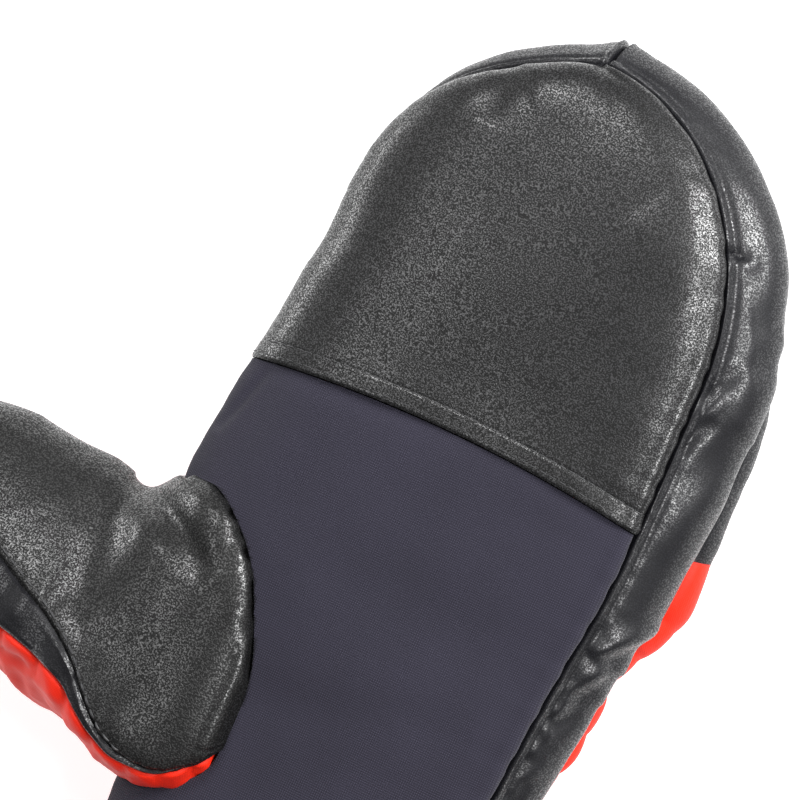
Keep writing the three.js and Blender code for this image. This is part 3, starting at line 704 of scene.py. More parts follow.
# %% Back leather and quilted shell
BACK_RIDGE, SHELL_RIDGE = 3.2, 5.2
RIDGE_FADES = HEM_FROM_WRIST + 22, HEM_FROM_WRIST + 62
SHELL_SWELLS = HEM_FROM_WRIST - 30, HEM_FROM_WRIST - 4
SCALLOP_PITCH = {"outer": 11, "inner": 13}
SCALLOP_SHARPNESS = 0.55
WRAP_WIDE, NO_SEAM = 30, 99
BACK_COLUMNS, BACK_ARCH_ROWS, WRAP_COLUMNS = 120, 80, 20


def scallops(along, away, pitch, reach, depth):
    """Lobes between sharp pinches, deepest at the seam."""
    lobe = np.abs(np.sin(math.pi * along / pitch + 0.6 * np.sin(along / 23)))
    return -depth * (1 - lobe**SCALLOP_SHARPNESS) * np.exp(-away / reach)


def back_tip_relief(grid):
    """Leather over the back of the fingertips, with a filled ridge that fades towards the tip."""
    left, right = from_sides(grid)
    along = tape(grid, 0)
    eased = gathers(along, left, pitch=9, reach=7, depth=0.5)
    eased += gathers(along + 15, right, pitch=11, reach=7, depth=0.25)
    near_hem = 1 - smooth(grid[..., 1], *RIDGE_FADES)
    eased += near_hem * ridge(right, at=6, wide=7, high=BACK_RIDGE)
    slack = 0.5 * soft_noise(grid, size=30, seed=7)
    return eased + slack * smooth(np.minimum(left, right), 0, 8)


def shell_relief(grid, away_left, away_right):
    """Quilted fabric, scalloped at its seams, and swelling at its hem to meet the back leather."""
    along = tape(grid, 0)
    sewn = scallops(along + 4, away_right, SCALLOP_PITCH["outer"], reach=9, depth=2.6)
    sewn += scallops(along, away_left, SCALLOP_PITCH["inner"], reach=9, depth=2.2)
    slack = 0.9 * soft_noise(grid, size=30, seed=8) + 0.4 * soft_noise(grid, size=11, seed=9)
    near_hem = smooth(grid[..., 1], *SHELL_SWELLS)
    sewn = sewn * (1 - near_hem) + near_hem * ridge(away_right, at=6, wide=8, high=SHELL_RIDGE)
    return sewn + slack * smooth(np.minimum(away_left, away_right), 0, 8) + wrist_dip(grid)


back_across = close_to_seams(BACK_COLUMNS)[None, :]
tip_rows = rows_between(HEM_FROM_WRIST + half_gap, STRAIGHT, arch=BACK_ARCH_ROWS)
tip_flat = back_face(tip_rows, back_across, 0, False)
tip_inside = back_face(tip_rows, back_across, BACK_WALL, False)
tip_top = above_table(raised(tip_flat, back_tip_relief(tip_flat), hand_centre(tip_flat)))
back_tip = wall("back_fingertip_leather", tip_top, tip_inside)

shell_rows = rows_between(half_gap, HEM_FROM_WRIST - half_gap)
wrap_across = (np.arange(WRAP_COLUMNS) / WRAP_COLUMNS)[None, :]


def shell_grid(side_wall, back_wall):
    """A face of the shell: the part that wraps the index side, and then the back of the hand."""
    wrapped = side_face(shell_rows, -1, wrap_across, side_wall, -1)
    return np.hstack([wrapped, back_face(shell_rows, back_across, back_wall, True)])


shell_flat = shell_grid(0, 0)
away_left, away_right = from_sides(shell_flat[:, WRAP_COLUMNS:])
wrap_away = tape(shell_flat[:, WRAP_COLUMNS::-1], 1)[:, :0:-1]
below_thumb = shell_rows["y"] < THUMB_AXIS_Y
away_left = np.hstack([wrap_away + WRAP_WIDE, away_left + WRAP_WIDE * below_thumb])
away_right = np.hstack([np.full_like(wrap_away, NO_SEAM), away_right])
shell_folds = shell_relief(shell_flat, away_left, away_right)
shell_top = above_table(raised(shell_flat, shell_folds, hand_centre(shell_flat)))
on_back = np.arange(shell_top.shape[1] - 1)[None, :] >= WRAP_COLUMNS
keep_shell = on_back | below_thumb[1:]
shell = wall("back_padding", shell_top, shell_grid(SIDE_WALL, BACK_WALL), keep=keep_shell)
print("scallop pitches in mm:", SCALLOP_PITCH, "and baffle pitch:", QUILT_PITCH)

# %% [markdown]
# ## The thumb
# The thumb is a tube of three panels: a leather front that is set into the palm with a curved
# seam, a narrow leather strip, and a padded orange back. One grid of points makes all three, and
# the columns are shared out between the seams, so the panels meet exactly. Its cross-section is a
# superellipse: squarer at the root, and rounder at the tip.


# %% Thumb surface
FRONT_COLUMNS, STRIP_COLUMNS, PAD_COLUMNS = 76, 12, 70
BODY_ROWS, END_ROWS, END_FROM = 104, 25, 0.9


def thumb_point(share, degrees, wall_depth):
    """Points of the thumb at a share of its length and an angle round it, in from its surface."""
    at = {key: look_up(THUMB, "out", key, share) for key in THUMB if key != "out"}
    power = 2 / at["square"]
    upper, lower = at["upper"] * THUMB_WIDTH - wall_depth, at["lower"] * THUMB_WIDTH + wall_depth
    front = at["front"] * THUMB_ROOT_HEIGHT - wall_depth
    back = at["back"] * THUMB_ROOT_HEIGHT + wall_depth
    half_width, half_depth = np.maximum((upper - lower) / 2, 0), np.maximum((front - back) / 2, 0)
    c, s = np.cos(np.radians(degrees)), np.sin(np.radians(degrees))
    aside = half_width * np.sign(c) * np.abs(c) ** power
    up = half_depth * np.sign(s) * np.abs(s) ** power
    roll = np.radians(THUMB_ROLL) * smooth(share, THUMB_ROLL_START, THUMB_ROLL_END)
    x = THUMB_ROOT_X - wall_depth - (THUMB_REACH - 2 * wall_depth) * share
    y = THUMB_AXIS_Y + (upper + lower) / 2 + aside * np.cos(roll) + up * np.sin(roll)
    z = (front + back) / 2 - aside * np.sin(roll) + up * np.cos(roll)
    return np.stack([x + 0 * y, y, z], axis=-1)


def thumb_grid(shares, wall_depth):
    """The whole thumb as a ring of columns that starts at the seam in the crotch."""
    shares = shares[:, None]
    seam, strip = look_up(THUMB, "out", "seam", shares), look_up(THUMB, "out", "strip", shares)
    stops = [CROTCH_SEAM + 0 * seam, seam, strip, CROTCH_SEAM + 360 + 0 * seam]
    runs = (FRONT_COLUMNS, STRIP_COLUMNS, PAD_COLUMNS)
    parts = [
        mix(a, b, close_to_seams(n)[None, :-1]) for a, b, n in zip(stops[:-1], stops[1:], runs)
    ]
    return thumb_point(shares, np.hstack(parts), wall_depth)


end_turn = np.linspace(0, math.pi / 2, END_ROWS + 1)[1:]
end_shares = END_FROM + (1 - END_FROM) * np.sin(end_turn)
thumb_shares = np.append(np.linspace(0, END_FROM, BODY_ROWS), end_shares)
thumb_flat = thumb_grid(thumb_shares, 0)
thumb_inside = thumb_grid(thumb_shares, THUMB_WALL)
ring_middle = np.broadcast_to(thumb_flat.mean(axis=1, keepdims=True), thumb_flat.shape)
print("thumb grid:", thumb_flat.shape[:2])

# %% [markdown]
# ## Where the thumb meets the palm
# The curved seam is the line where the two surfaces cross. Its puckers need the distance from that
# line, so the points of the thumb that lie at the height of the palm are collected, and every other
# point is measured from the nearest of them.


# %% Distance from the thumb's root seam
ROOT_ROWS, ROOT_RADIUS, PALM_SIDE_FROM = 60, 38, 30


def nearest_tree(points):
    """A search tree that finds the nearest of some points."""
    tree = KDTree(len(points))
    for k, point in enumerate(points):
        tree.insert(Vector(point), k)
    tree.balance()
    return tree


def height_over(grid, below):
    """How far each point of one grid stands above another grid, looking straight down."""
    lying = below.reshape(-1, 3)
    tree = nearest_tree(lying * [1, 1, 0])
    flat = grid.reshape(-1, 3)
    found = [tree.find(Vector((x, y, 0)))[1] for x, y, _ in flat]
    return (flat[:, 2] - lying[found, 2]).reshape(grid.shape[:2])


def away_from(points, grid):
    """Distance of every point of a grid from the nearest of some points, and that one's number."""
    tree = nearest_tree(points)
    found = [tree.find(Vector(p))[1:] for p in grid.reshape(-1, 3)]
    number, away = np.array(found).T
    return away.reshape(grid.shape[:2]), number.astype(int).reshape(grid.shape[:2])


over_palm = height_over(thumb_flat[:ROOT_ROWS], palm_flat)
crosses = (over_palm[:-1] < 0) & (over_palm[1:] >= 0)
crosses &= thumb_flat[:ROOT_ROWS - 1, :, 2] > PALM_SIDE_FROM
root_seam = (thumb_flat[:ROOT_ROWS - 1][crosses] + thumb_flat[1:ROOT_ROWS][crosses]) / 2
root_middle = root_seam.mean(axis=0)
print("points on the root seam:", len(root_seam), "middle:", root_middle.round(1))


def root_distance(grid):
    """How far each point is from the root seam, and how far along the seam its nearest point is."""
    away, number = away_from(root_seam, grid)
    arm = root_seam[number] - root_middle
    along = np.arctan2(arm[..., 1], arm[..., 0]) * ROOT_RADIUS
    return away, along


# %% [markdown]
# ## Thumb panels with their relief
# The leather of the thumb is thicker than that of the fingertips. It folds in one deep crease where
# the thumb bends, and it puckers into the palm seam. The padded back is loose: it puffs out between
# pinches along the strip, and a few long folds cross it.

# %% Thumb panels
TIP_SEAM_FADES = THUMB_TIP_SHARE - 0.03, THUMB_TIP_SHARE + 0.01
thumb_away, thumb_along = root_distance(thumb_flat)
column = np.arange(thumb_flat.shape[1])
is_front = (column < FRONT_COLUMNS)[None, :]
is_strip = ((column >= FRONT_COLUMNS) & (column < FRONT_COLUMNS + STRIP_COLUMNS))[None, :]
around = tape(np.hstack([thumb_flat, thumb_flat[:, :1]]), 1)
front_seam_at = around[:, FRONT_COLUMNS:FRONT_COLUMNS + 1]
strip_seam_at = around[:, FRONT_COLUMNS + STRIP_COLUMNS:FRONT_COLUMNS + STRIP_COLUMNS + 1]
crotch_seam_at = around[:, -1:]
around = around[:, :-1]
out_along = tape(thumb_flat, 0).mean(axis=1, keepdims=True)
in_body = 1 - smooth(thumb_shares[:, None], *TIP_SEAM_FADES)


def thumb_relief():
    """The relief of all three panels, with a groove along each seam and leather over the tip."""
    front_away = np.minimum(np.abs(around - front_seam_at), around)
    pad_away = np.minimum(np.abs(around - strip_seam_at), crotch_seam_at - around)
    strip_away = np.minimum(np.abs(around - front_seam_at), np.abs(around - strip_seam_at))
    leather = 0.42 * soft_noise(thumb_flat, size=32, seed=10)
    leather += 0.1 * soft_noise(thumb_flat, size=11, seed=11)
    leather *= smooth(front_away, 0, 8) + (1 - in_body)
    sewn = gathers(out_along, front_away, pitch=5.5, reach=4, depth=0.35) * in_body
    root = gathers(thumb_along, thumb_away, pitch=3.6, reach=4.5, depth=0.4)
    root += ridge(thumb_away, at=0, wide=1.3, high=-1.6)
    root += ridge(thumb_away, at=3, wide=1.8, high=0.5)
    front = leather + sewn + root - press(thumb_flat, THUMB_CREASES)
    strip = ridge(strip_away, at=1.2, wide=0.9, high=0.35)
    strip += 0.3 * soft_noise(thumb_flat, size=9, seed=12)
    folds = 1.2 * soft_noise(thumb_flat * [1, 0.5, 0.5], size=22, seed=13)
    folds += 0.5 * soft_noise(thumb_flat, size=9, seed=14)
    pad = scallops(out_along + 5, pad_away, pitch=12, reach=8, depth=2.4)
    pad = (pad + folds * smooth(pad_away, 0, 9)) * in_body + leather * (1 - in_body)
    relief = np.where(is_front, front, np.where(is_strip, strip, pad))
    groove = ridge(around, at=0, wide=0.8, high=-0.8)
    for seam_at in (front_seam_at, strip_seam_at):
        groove += ridge(np.abs(around - seam_at), at=0, wide=0.7, high=-0.8)
    return relief + groove * in_body


thumb_top = raised(thumb_flat, thumb_relief(), ring_middle)
thumb_top[-1] = thumb_top[-1].mean(axis=0)
thumb_inside[-1] = thumb_inside[-1].mean(axis=0)
in_tip = thumb_shares[:-1, None] >= THUMB_TIP_SHARE
front_quads = is_front | in_tip
strip_quads = is_strip & ~in_tip
pad_quads = ~front_quads & ~strip_quads


def thumb_panel(name, quads):
    """The panel of the thumb that some of its quads make."""
    return wall(name, thumb_top, thumb_inside, quads, ring=True)


thumb_front = thumb_panel("thumb_front_leather", front_quads)
thumb_strip = thumb_panel("thumb_side_leather", strip_quads)
thumb_pad = thumb_panel("thumb_back_padding", pad_quads)
print("thumb panels:", face_counts(thumb_front, thumb_strip, thumb_pad))

# %% [markdown]
# ## Cutting the panels where the thumb passes through
# The palm, the side panel and the shell have an opening for the thumb, and the thumb's own wall
# stops at the hollow of the hand. Both are cuts with a solid: the thumb as a full body, and the
# hollow of the hand as a full body. The solids are scratch objects, and are deleted afterwards.

# %% Cuts
HOLLOW_STEP, HOLLOW_ARCH_ROWS = 3, 24
HOLLOW_COLUMNS, HOLLOW_SIDE_COLUMNS = 40, 8


def hand_hollow():
    """The hollow of the hand as a closed solid."""
    rows = rows_between(0, STRAIGHT, HOLLOW_STEP, arch=HOLLOW_ARCH_ROWS)
    s = close_to_seams(HOLLOW_COLUMNS)[None, :]
    w = np.linspace(0, 1, HOLLOW_SIDE_COLUMNS + 1)[None, :]
    palm_side = palm_face(rows, s[:, :-1], 0, PALM_WALL)
    outer = side_face(rows, 1, w[:, :-1], SIDE_WALL, 0)
    back_side = back_face(rows, s[:, :0:-1], BACK_WALL, False)
    inner = side_face(rows, -1, w[:, :0:-1], SIDE_WALL, 0)
    return lofted("hand_hollow_tool", np.hstack([palm_side, outer, back_side, inner]))


thumb_tool = lofted("thumb_tool", thumb_grid(thumb_shares[:-1], -SEAM_GAP))
hollow_tool = hand_hollow()
for panel in (palm_panel, inner_side, shell):
    cut(panel, thumb_tool)
for panel in (thumb_front, thumb_strip, thumb_pad):
    cut(panel, hollow_tool)
for tool in (thumb_tool, hollow_tool):
    bpy.data.objects.remove(tool)
print("after the cuts:", face_counts(palm_panel, inner_side, shell, thumb_front))

# %% [markdown]
# ## The cuff
# The photograph ends at the wrist, so the cuff is finished plainly: one padded sleeve of the shell
# fabric, hemmed at its open end. A sewn cuff follows the hand that it is sewn to. So both of its
# faces are eased, close to the wrist seam, to the outline that the padded hand has there.

# %% Cuff
CUFF_ROWS, CUFF_COLUMNS = 77, 240
HEM_STITCH = 14
ABOVE_WRIST, EASE_REACH = 7, 12
MOST_IN, MOST_OUT = -5, 4
wrist = {side: SIDES[side][0] * HALF_WIDTH for side in ("left", "right")}
WRIST_WIDTH = wrist["left"] + wrist["right"] + 2 * CUFF_STEP
WRIST_CENTRE = (wrist["right"] - wrist["left"]) / 2
WRIST_DEPTH = SIDES["top"][0] * HAND_DEPTH + CUFF_STEP


def cuff_face(shares, wall_depth):
    """A rounded box section that goes from the wrist's size to the mouth's."""
    shares = shares[:, None]
    ease = smooth(shares)
    half_width = mix(WRIST_WIDTH, CUFF_WIDTH, ease) / 2 - wall_depth
    depth = mix(WRIST_DEPTH, CUFF_DEPTH, ease)
    half_depth = (depth + PRESSED_IN) / 2 - wall_depth
    turn = 2 * math.pi * np.arange(CUFF_COLUMNS)[None, :] / CUFF_COLUMNS
    c, s = np.cos(turn), np.sin(turn)
    x = mix(WRIST_CENTRE, 0, ease) + half_width * np.sign(c) * np.abs(c) ** CUFF_SQUARE
    y = -SEAM_GAP - (CUFF_LENGTH - SEAM_GAP) * shares + 0 * turn
    z = (depth - PRESSED_IN) / 2 + half_depth * np.sign(s) * np.abs(s) ** CUFF_SQUARE
    return np.stack([x, y, z], axis=-1)


cuff_shares = np.linspace(0, 1, CUFF_ROWS + 1)
cuff_flat = cuff_face(cuff_shares, 0)
cuff_middle = np.broadcast_to(cuff_flat.mean(axis=1, keepdims=True), cuff_flat.shape)
cuff_around = tape(cuff_flat, 1)
from_wrist = tape(cuff_flat, 0)
from_mouth = from_wrist[-1:] - from_wrist
cuff_relief = (
    gathers(cuff_around, from_wrist, pitch=12, reach=14, depth=1.1) * smooth(from_wrist, 0, 6)
    + gathers(cuff_around + 9, from_mouth, pitch=7, reach=6, depth=0.3)
    + ridge(from_mouth, at=HEM_STITCH, wide=0.8, high=-0.8)
    + ridge(from_wrist, at=0, wide=1.8, high=-0.8)
    + ridge(from_mouth, at=0, wide=1.2, high=-0.9)
    + 0.7 * soft_noise(cuff_flat, size=32, seed=15)
)
cuff_top = raised(cuff_flat, cuff_relief, cuff_middle)


def wrist_outline():
    """How far out the hand reaches a little above the wrist seam, for each column of the cuff."""
    beside_seam = 5
    points = []
    for grid in (palm_top, outer_top, shell_top):
        row = np.argmin(np.abs(grid[:, beside_seam, 1] - ABOVE_WRIST))
        points.extend(grid[row])
    points = np.array(points)
    about = cuff_middle[0, 0]
    side, rise = points[:, 0] - about[0], points[:, 2] - about[2]
    bearing = np.degrees(np.arctan2(rise, side))
    order = np.argsort(bearing)
    flat = cuff_flat[0] - about
    columns = np.degrees(np.arctan2(flat[:, 2], flat[:, 0]))
    far = np.hypot(side, rise)[order]
    met = np.interp(columns, bearing[order], far, period=360) - np.hypot(flat[:, 0], flat[:, 2])
    return np.clip(met, MOST_IN, MOST_OUT)


outwards = cuff_flat - cuff_middle
outwards /= np.linalg.norm(outwards, axis=2, keepdims=True)
eased_out = wrist_outline()[None, :] * ridge(from_wrist, at=0, wide=EASE_REACH, high=1)
easing = outwards * eased_out[..., None]
cuff_top = above_table(cuff_top + easing)
cuff_inside = cuff_face(cuff_shares, CUFF_WALL) + easing
cuff_padding = wall("cuff_padding", cuff_top, cuff_inside, ring=True)
print("cuff points:", cuff_flat[..., 0].size)

# %% [markdown]
# ## Stitches
# Thread shows where the hem is topstitched in two rows, on the thumb's front beside its strip, and
# round the hem of the cuff. Each stitch is a short bent bead whose ends dip into the leather. All
# the stitches of a seam are one mesh.

# %% Stitches
STITCH_RINGS = np.array([0.45, 0.9, 1, 0.9, 0.45])
STITCH_SIDES = 6
STITCH_ARCH, STITCH_SUNK = 1.2, 0.5
THUMB_STITCH_ROW, THUMB_STITCH_BESIDE = 22, 9
STITCHED_ABOVE = 2


def bead_faces():
    """The quads of one stitch: its sides, and two at each end."""
    rings, sides = len(STITCH_RINGS), STITCH_SIDES
    end = (rings - 1) * sides
    ends = [[0, 5, 4, 3], [0, 3, 2, 1]]
    ends += [[end, end + 1, end + 2, end + 3], [end, end + 3, end + 4, end + 5]]
    return np.concatenate([grid_faces(rings, sides, ring=True).reshape(-1, 4), ends])


def stitches(name, lines, long=2.7, pitch=3.5, thick=0.34):
    """Bent beads along lines of points. Each line comes with the normals at its points."""
    step = np.linspace(-1, 1, len(STITCH_RINGS))
    turn = 2 * math.pi * np.arange(STITCH_SIDES)[:, None] / STITCH_SIDES
    beads = []
    for path, normals in lines:
        length = np.append(0, np.cumsum(np.linalg.norm(np.diff(path, axis=0), axis=1)))
        for stop in np.arange(pitch / 2, length[-1], pitch):
            spots = stop + step / 2 * long
            centre = np.stack([np.interp(spots, length, path[:, k]) for k in range(3)], axis=1)
            up = np.array([np.interp(stop, length, normals[:, k]) for k in range(3)])
            up /= np.linalg.norm(up)
            run = centre[-1] - centre[0]
            aside = np.cross(run / np.linalg.norm(run), up)
            centre += up * thick * (STITCH_ARCH * (1 - step[:, None] ** 2) - STITCH_SUNK)
            circle = np.cos(turn) * aside + np.sin(turn) * up
            beads.append(centre[:, None] + thick * STITCH_RINGS[:, None, None] * circle)
    size = len(STITCH_RINGS) * STITCH_SIDES
    faces = [bead_faces() + k * size for k in range(len(beads))]
    return mesh_object(name, np.reshape(beads, (-1, 3)), np.concatenate(faces))


def grid_line(grid, centre, rows=slice(None), columns=slice(None)):
    """A line of a grid with its normals."""
    return grid[rows, columns], normals_of(grid, centre)[rows, columns]


hem_rows = [round(needle / HEM_ROWS) for needle in HEM_NEEDLES]
hem_lines = [grid_line(cap_top, hand_centre(cap_top), row) for row in hem_rows]
hem_stitches = stitches("hem_stitching", hem_lines, long=2.2, pitch=2.8, thick=0.17)
body_rows = slice(THUMB_STITCH_ROW, int(np.argmax(thumb_shares >= THUMB_TIP_SHARE)))
thumb_line = grid_line(thumb_top, ring_middle, body_rows, FRONT_COLUMNS - THUMB_STITCH_BESIDE)
thumb_stitches = stitches("thumb_stitching", [thumb_line])
mouth_row = int(np.argmin(np.abs(from_mouth[:, 0] - HEM_STITCH)))
from_below = np.roll(np.arange(CUFF_COLUMNS), CUFF_COLUMNS // 4)
clear_of_table = from_below[cuff_top[mouth_row, from_below, 2] > STITCHED_ABOVE]
mouth_line = grid_line(cuff_top, cuff_middle, mouth_row, clear_of_table)
cuff_stitches = stitches("cuff_stitching", [mouth_line])
print("stitch faces:", face_counts(hem_stitches, thumb_stitches, cuff_stitches))

# %% [markdown]
# ## Finishes as expressions
# A material is a graph of nodes. Written as nodes, a sum of three patterns is a page long, so a
# small class wraps a socket and lets Python's operators add the Math nodes. Lengths in the
# materials are in metres, because the coordinates of every piece are.


# %% A socket that does arithmetic
class Socket:
    """An output socket of a material's graph, which adds Math nodes when it is calculated with."""

    def __init__(self, tree, output=None):
        self.tree = tree
        self.output = output

    def node(self, kind, settings=None, inputs=None, output=0):
        """Any node: its settings first, and then the values or links of its sockets."""
        made = self.tree.nodes.new(kind)
        for key, value in (settings or {}).items():
            setattr(made, key, value)
        for key, value in (inputs or {}).items():
            socket = [s for s in made.inputs if s.enabled and key in (s.name, s.identifier)][0]
            if isinstance(value, Socket):
                self.tree.links.new(value.output, socket)
            else:
                socket.default_value = value
        outputs = [s for s in made.outputs if s.enabled]
        found = outputs[output] if isinstance(output, int) else made.outputs[output]
        return Socket(self.tree, found)

    def maths(self, operation, first, second):
        """A Math node, or a Vector Math node where one of the two is a colour or a vector."""
        wide = [v for v in (first, second) if isinstance(v, Socket) and v.output.type != "VALUE"]
        made = self.tree.nodes.new("ShaderNodeVectorMath" if wide else "ShaderNodeMath")
        made.operation = operation
        for slot, value in zip(made.inputs, (first, second)):
            if isinstance(value, Socket):
                self.tree.links.new(value.output, slot)
            else:
                slot.default_value = (value,) * 3 if wide else value
        return Socket(self.tree, made.outputs[0])

    def __add__(self, other):
        return self.maths("ADD", self, other)

    def __radd__(self, other):
        return self.maths("ADD", other, self)

    def __sub__(self, other):
        return self.maths("SUBTRACT", self, other)

    def __rsub__(self, other):
        return self.maths("SUBTRACT", other, self)

    def __mul__(self, other):
        return self.maths("MULTIPLY", self, other)

    def __rmul__(self, other):
        return self.maths("MULTIPLY", other, self)


def new_finish(name):
    """A material with its surface node, and a socket with the place on the piece in metres."""
    material = bpy.data.materials.new(name)
    material.use_nodes = True
    surface = material.node_tree.nodes["Principled BSDF"]
    place = Socket(material.node_tree).node("ShaderNodeTexCoord", output="Object")
    return material, surface, place


def dress(material, surface, varying, constant):
    """Links what changes over the surface, and sets what is the same all over on its own socket."""
    for key, value in varying.items():
        material.node_tree.links.new(value.output, surface.inputs[key])
    for key, value in constant.items():
        surface.inputs[key].default_value = value
    return material


def noise(place, size, detail=3, rough=0.55, output="Fac"):
    """Blotches about size metres wide."""
    inputs = {"Vector": place, "Scale": 1 / size, "Detail": detail, "Roughness": rough}
    return place.node("ShaderNodeTexNoise", inputs=inputs, output=output)


def between(value, low, high):
    """A soft step in a value, from 0 at low to 1 at high."""
    inputs = {"Value": value, "From Min": low, "From Max": high}
    return value.node("ShaderNodeMapRange", {"interpolation_type": "SMOOTHSTEP"}, inputs)


def blend_colours(share, first, second):
    """From the first colour at 0 to the second at 1."""
    inputs = {"Factor": share, "A": (*first, 1), "B": (*second, 1)}
    return share.node("ShaderNodeMix", {"data_type": "RGBA"}, inputs)


def bump(height):
    """A normal from a height in millimetres."""
    inputs = {"Height": height, "Distance": MM, "Strength": 1.0}
    return height.node("ShaderNodeBump", inputs=inputs)


print("finish helpers:", noise.__name__, between.__name__, blend_colours.__name__, bump.__name__)

# %% [markdown]
# ## Leather
# Pebbled leather is a field of small soft bumps, and the valleys between them are painted darker,
# as painted shade. The bumps are polished by wear and mirror the light, and the valleys are matt,
# so a clear coat lies on the bumps only. A soft wrinkle lies over the whole. The thumb has the
# coarsest and deepest grain, and the side panels have the shallowest, with deeper wrinkles. Voronoi
# cells would give round pebbles with a rim, like fish skin, so the grain is a fine noise, pushed
# apart into tops and valleys.


# %% Leather finishes
def leather(name, cell, grain_deep, wrinkle_deep, tops, valley_shade, roughness, gloss, shine=0.2):
    """Leather whose grain is about cell metres wide and grain_deep millimetres high."""
    material, surface, place = new_finish(name)
    pebble = between(noise(place, cell, detail=0), low=0.38, high=0.8)
    patches = noise(place, size=0.022)
    wrinkle = noise(place, size=0.006, detail=5, rough=0.6)
    slow = noise(place, size=0.05, detail=2)
    height = pebble * (0.75 + 0.4 * patches) * grain_deep + wrinkle * wrinkle_deep
    varying = {
        # Base colour: painted shade darkens the grain's valleys, and the tops keep the leather's
        # own colour.
        "Base Color": blend_colours(pebble, valley_shade, tops),
        "Roughness": roughness + 0.3 * (1 - pebble) + 0.1 * (slow - 0.5) + 0.08 * (wrinkle - 0.5),
        "Coat Weight": (0.05 + 1.2 * pebble) * (0.75 + 0.5 * patches) * gloss,
        "Normal": bump(height),
    }
    return dress(material, surface, varying, {"Specular IOR Level": shine, "Coat Roughness": 0.3})


cap_leather = leather(
    "cap_leather_finish", cell=0.00038, grain_deep=0.05, wrinkle_deep=0.04,
    tops=(0.013, 0.013, 0.014), valley_shade=(0.001, 0.001, 0.001), roughness=0.3, gloss=0.9,
)
side_leather = leather(
    "side_leather_finish", cell=0.0004, grain_deep=0.025, wrinkle_deep=0.08, shine=0.25,
    tops=(0.005, 0.005, 0.007), valley_shade=(0.001, 0.001, 0.002), roughness=0.28, gloss=0.65,
)
thumb_leather = leather(
    "thumb_leather_finish", cell=0.00043, grain_deep=0.065, wrinkle_deep=0.035,
    tops=(0.012, 0.012, 0.012), valley_shade=(0.001, 0.001, 0.001), roughness=0.34, gloss=0.85,
)
print("leathers:", cap_leather.name, side_leather.name, thumb_leather.name)

# %% [markdown]
# ## Woven fabrics
# The palm is a matt stretch fabric in a dark plum navy, with a fine weave that only shows close up.
# The shell is a smooth orange nylon, with a finer weave, small wrinkles and a slight sheen. A weave
# is two sets of parallel ribs, one across the other, that take turns on top. Where the ribs dip,
# the colour is painted darker as painted shade, and slow blotches vary the tone at random.


# %% Fabric finishes
WAVE_PERIOD = 2 * math.pi / 20    # a wave texture of scale 1 repeats after this many metres


def woven(name, pitch, weave_deep, wrinkle_deep, wrinkle_size, light, dark, roughness, sheen):
    """Cloth whose threads are pitch metres apart. Its heights are in millimetres."""
    material, surface, place = new_finish(name)
    bent = place + (noise(place, size=0.004, detail=2, output="Color") - 0.5) * (pitch * 0.6)
    wave = {"wave_type": "BANDS", "wave_profile": "SIN"}
    inputs = {"Vector": bent, "Scale": WAVE_PERIOD / pitch}
    weft = bent.node("ShaderNodeTexWave", {**wave, "bands_direction": "X"}, inputs, "Fac")
    warp = bent.node("ShaderNodeTexWave", {**wave, "bands_direction": "Y"}, inputs, "Fac")
    weave = weft * warp
    wrinkle = noise(place, wrinkle_size, detail=4, rough=0.6)
    slow = noise(place, size=0.03, detail=2)
    # Base colour: painted shade where the weave dips, and a slow tone that varies at random.
    weave_shade_and_tone = between(weave + 0.5 * slow, low=0.0, high=1.2)
    varying = {
        "Base Color": blend_colours(weave_shade_and_tone, dark, light),
        "Roughness": roughness + 0.08 * (slow - 0.5) + 0.05 * (1 - weave),
        "Normal": bump(weave * weave_deep + wrinkle * wrinkle_deep),
    }
    return dress(material, surface, varying, sheen)


palm_fabric = woven(
    "palm_fabric_finish", pitch=0.0006, weave_deep=0.11, wrinkle_deep=0.16, wrinkle_size=0.005,
    light=(0.025, 0.023, 0.037), dark=(0.011, 0.010, 0.017), roughness=0.85,
    sheen={"Sheen Weight": 0.06, "Sheen Roughness": 0.5, "Specular IOR Level": 0.2},
)
shell_fabric = woven(
    "shell_fabric_finish", pitch=0.0004, weave_deep=0.03, wrinkle_deep=0.5, wrinkle_size=0.011,
    light=(0.7, 0.021, 0.005), dark=(0.58, 0.013, 0.003), roughness=0.5,
    sheen={"Sheen Weight": 0.03, "Sheen Roughness": 0.4, "Specular IOR Level": 0.2},
)


def thread_finish():
    """Black thread with a faint twist."""
    material, surface, place = new_finish("black_thread")
    twist = noise(place, size=0.0004, detail=2)
    varying = {
        "Base Color": blend_colours(twist, (0.012, 0.012, 0.013), (0.035, 0.035, 0.037)),
        "Roughness": 0.45 + 0.2 * twist,
        "Normal": bump(twist * 0.06),
    }
    return dress(material, surface, varying, {"Specular IOR Level": 0.4})


thread = thread_finish()
print("fabrics:", palm_fabric.name, shell_fabric.name, thread.name)

# %% [markdown]
# ## Putting it together
# Each piece takes its finish, rides with the one body of the mitten, and stands for its node of the
# model. The table also gives how full each padded panel is, which nothing here reads.

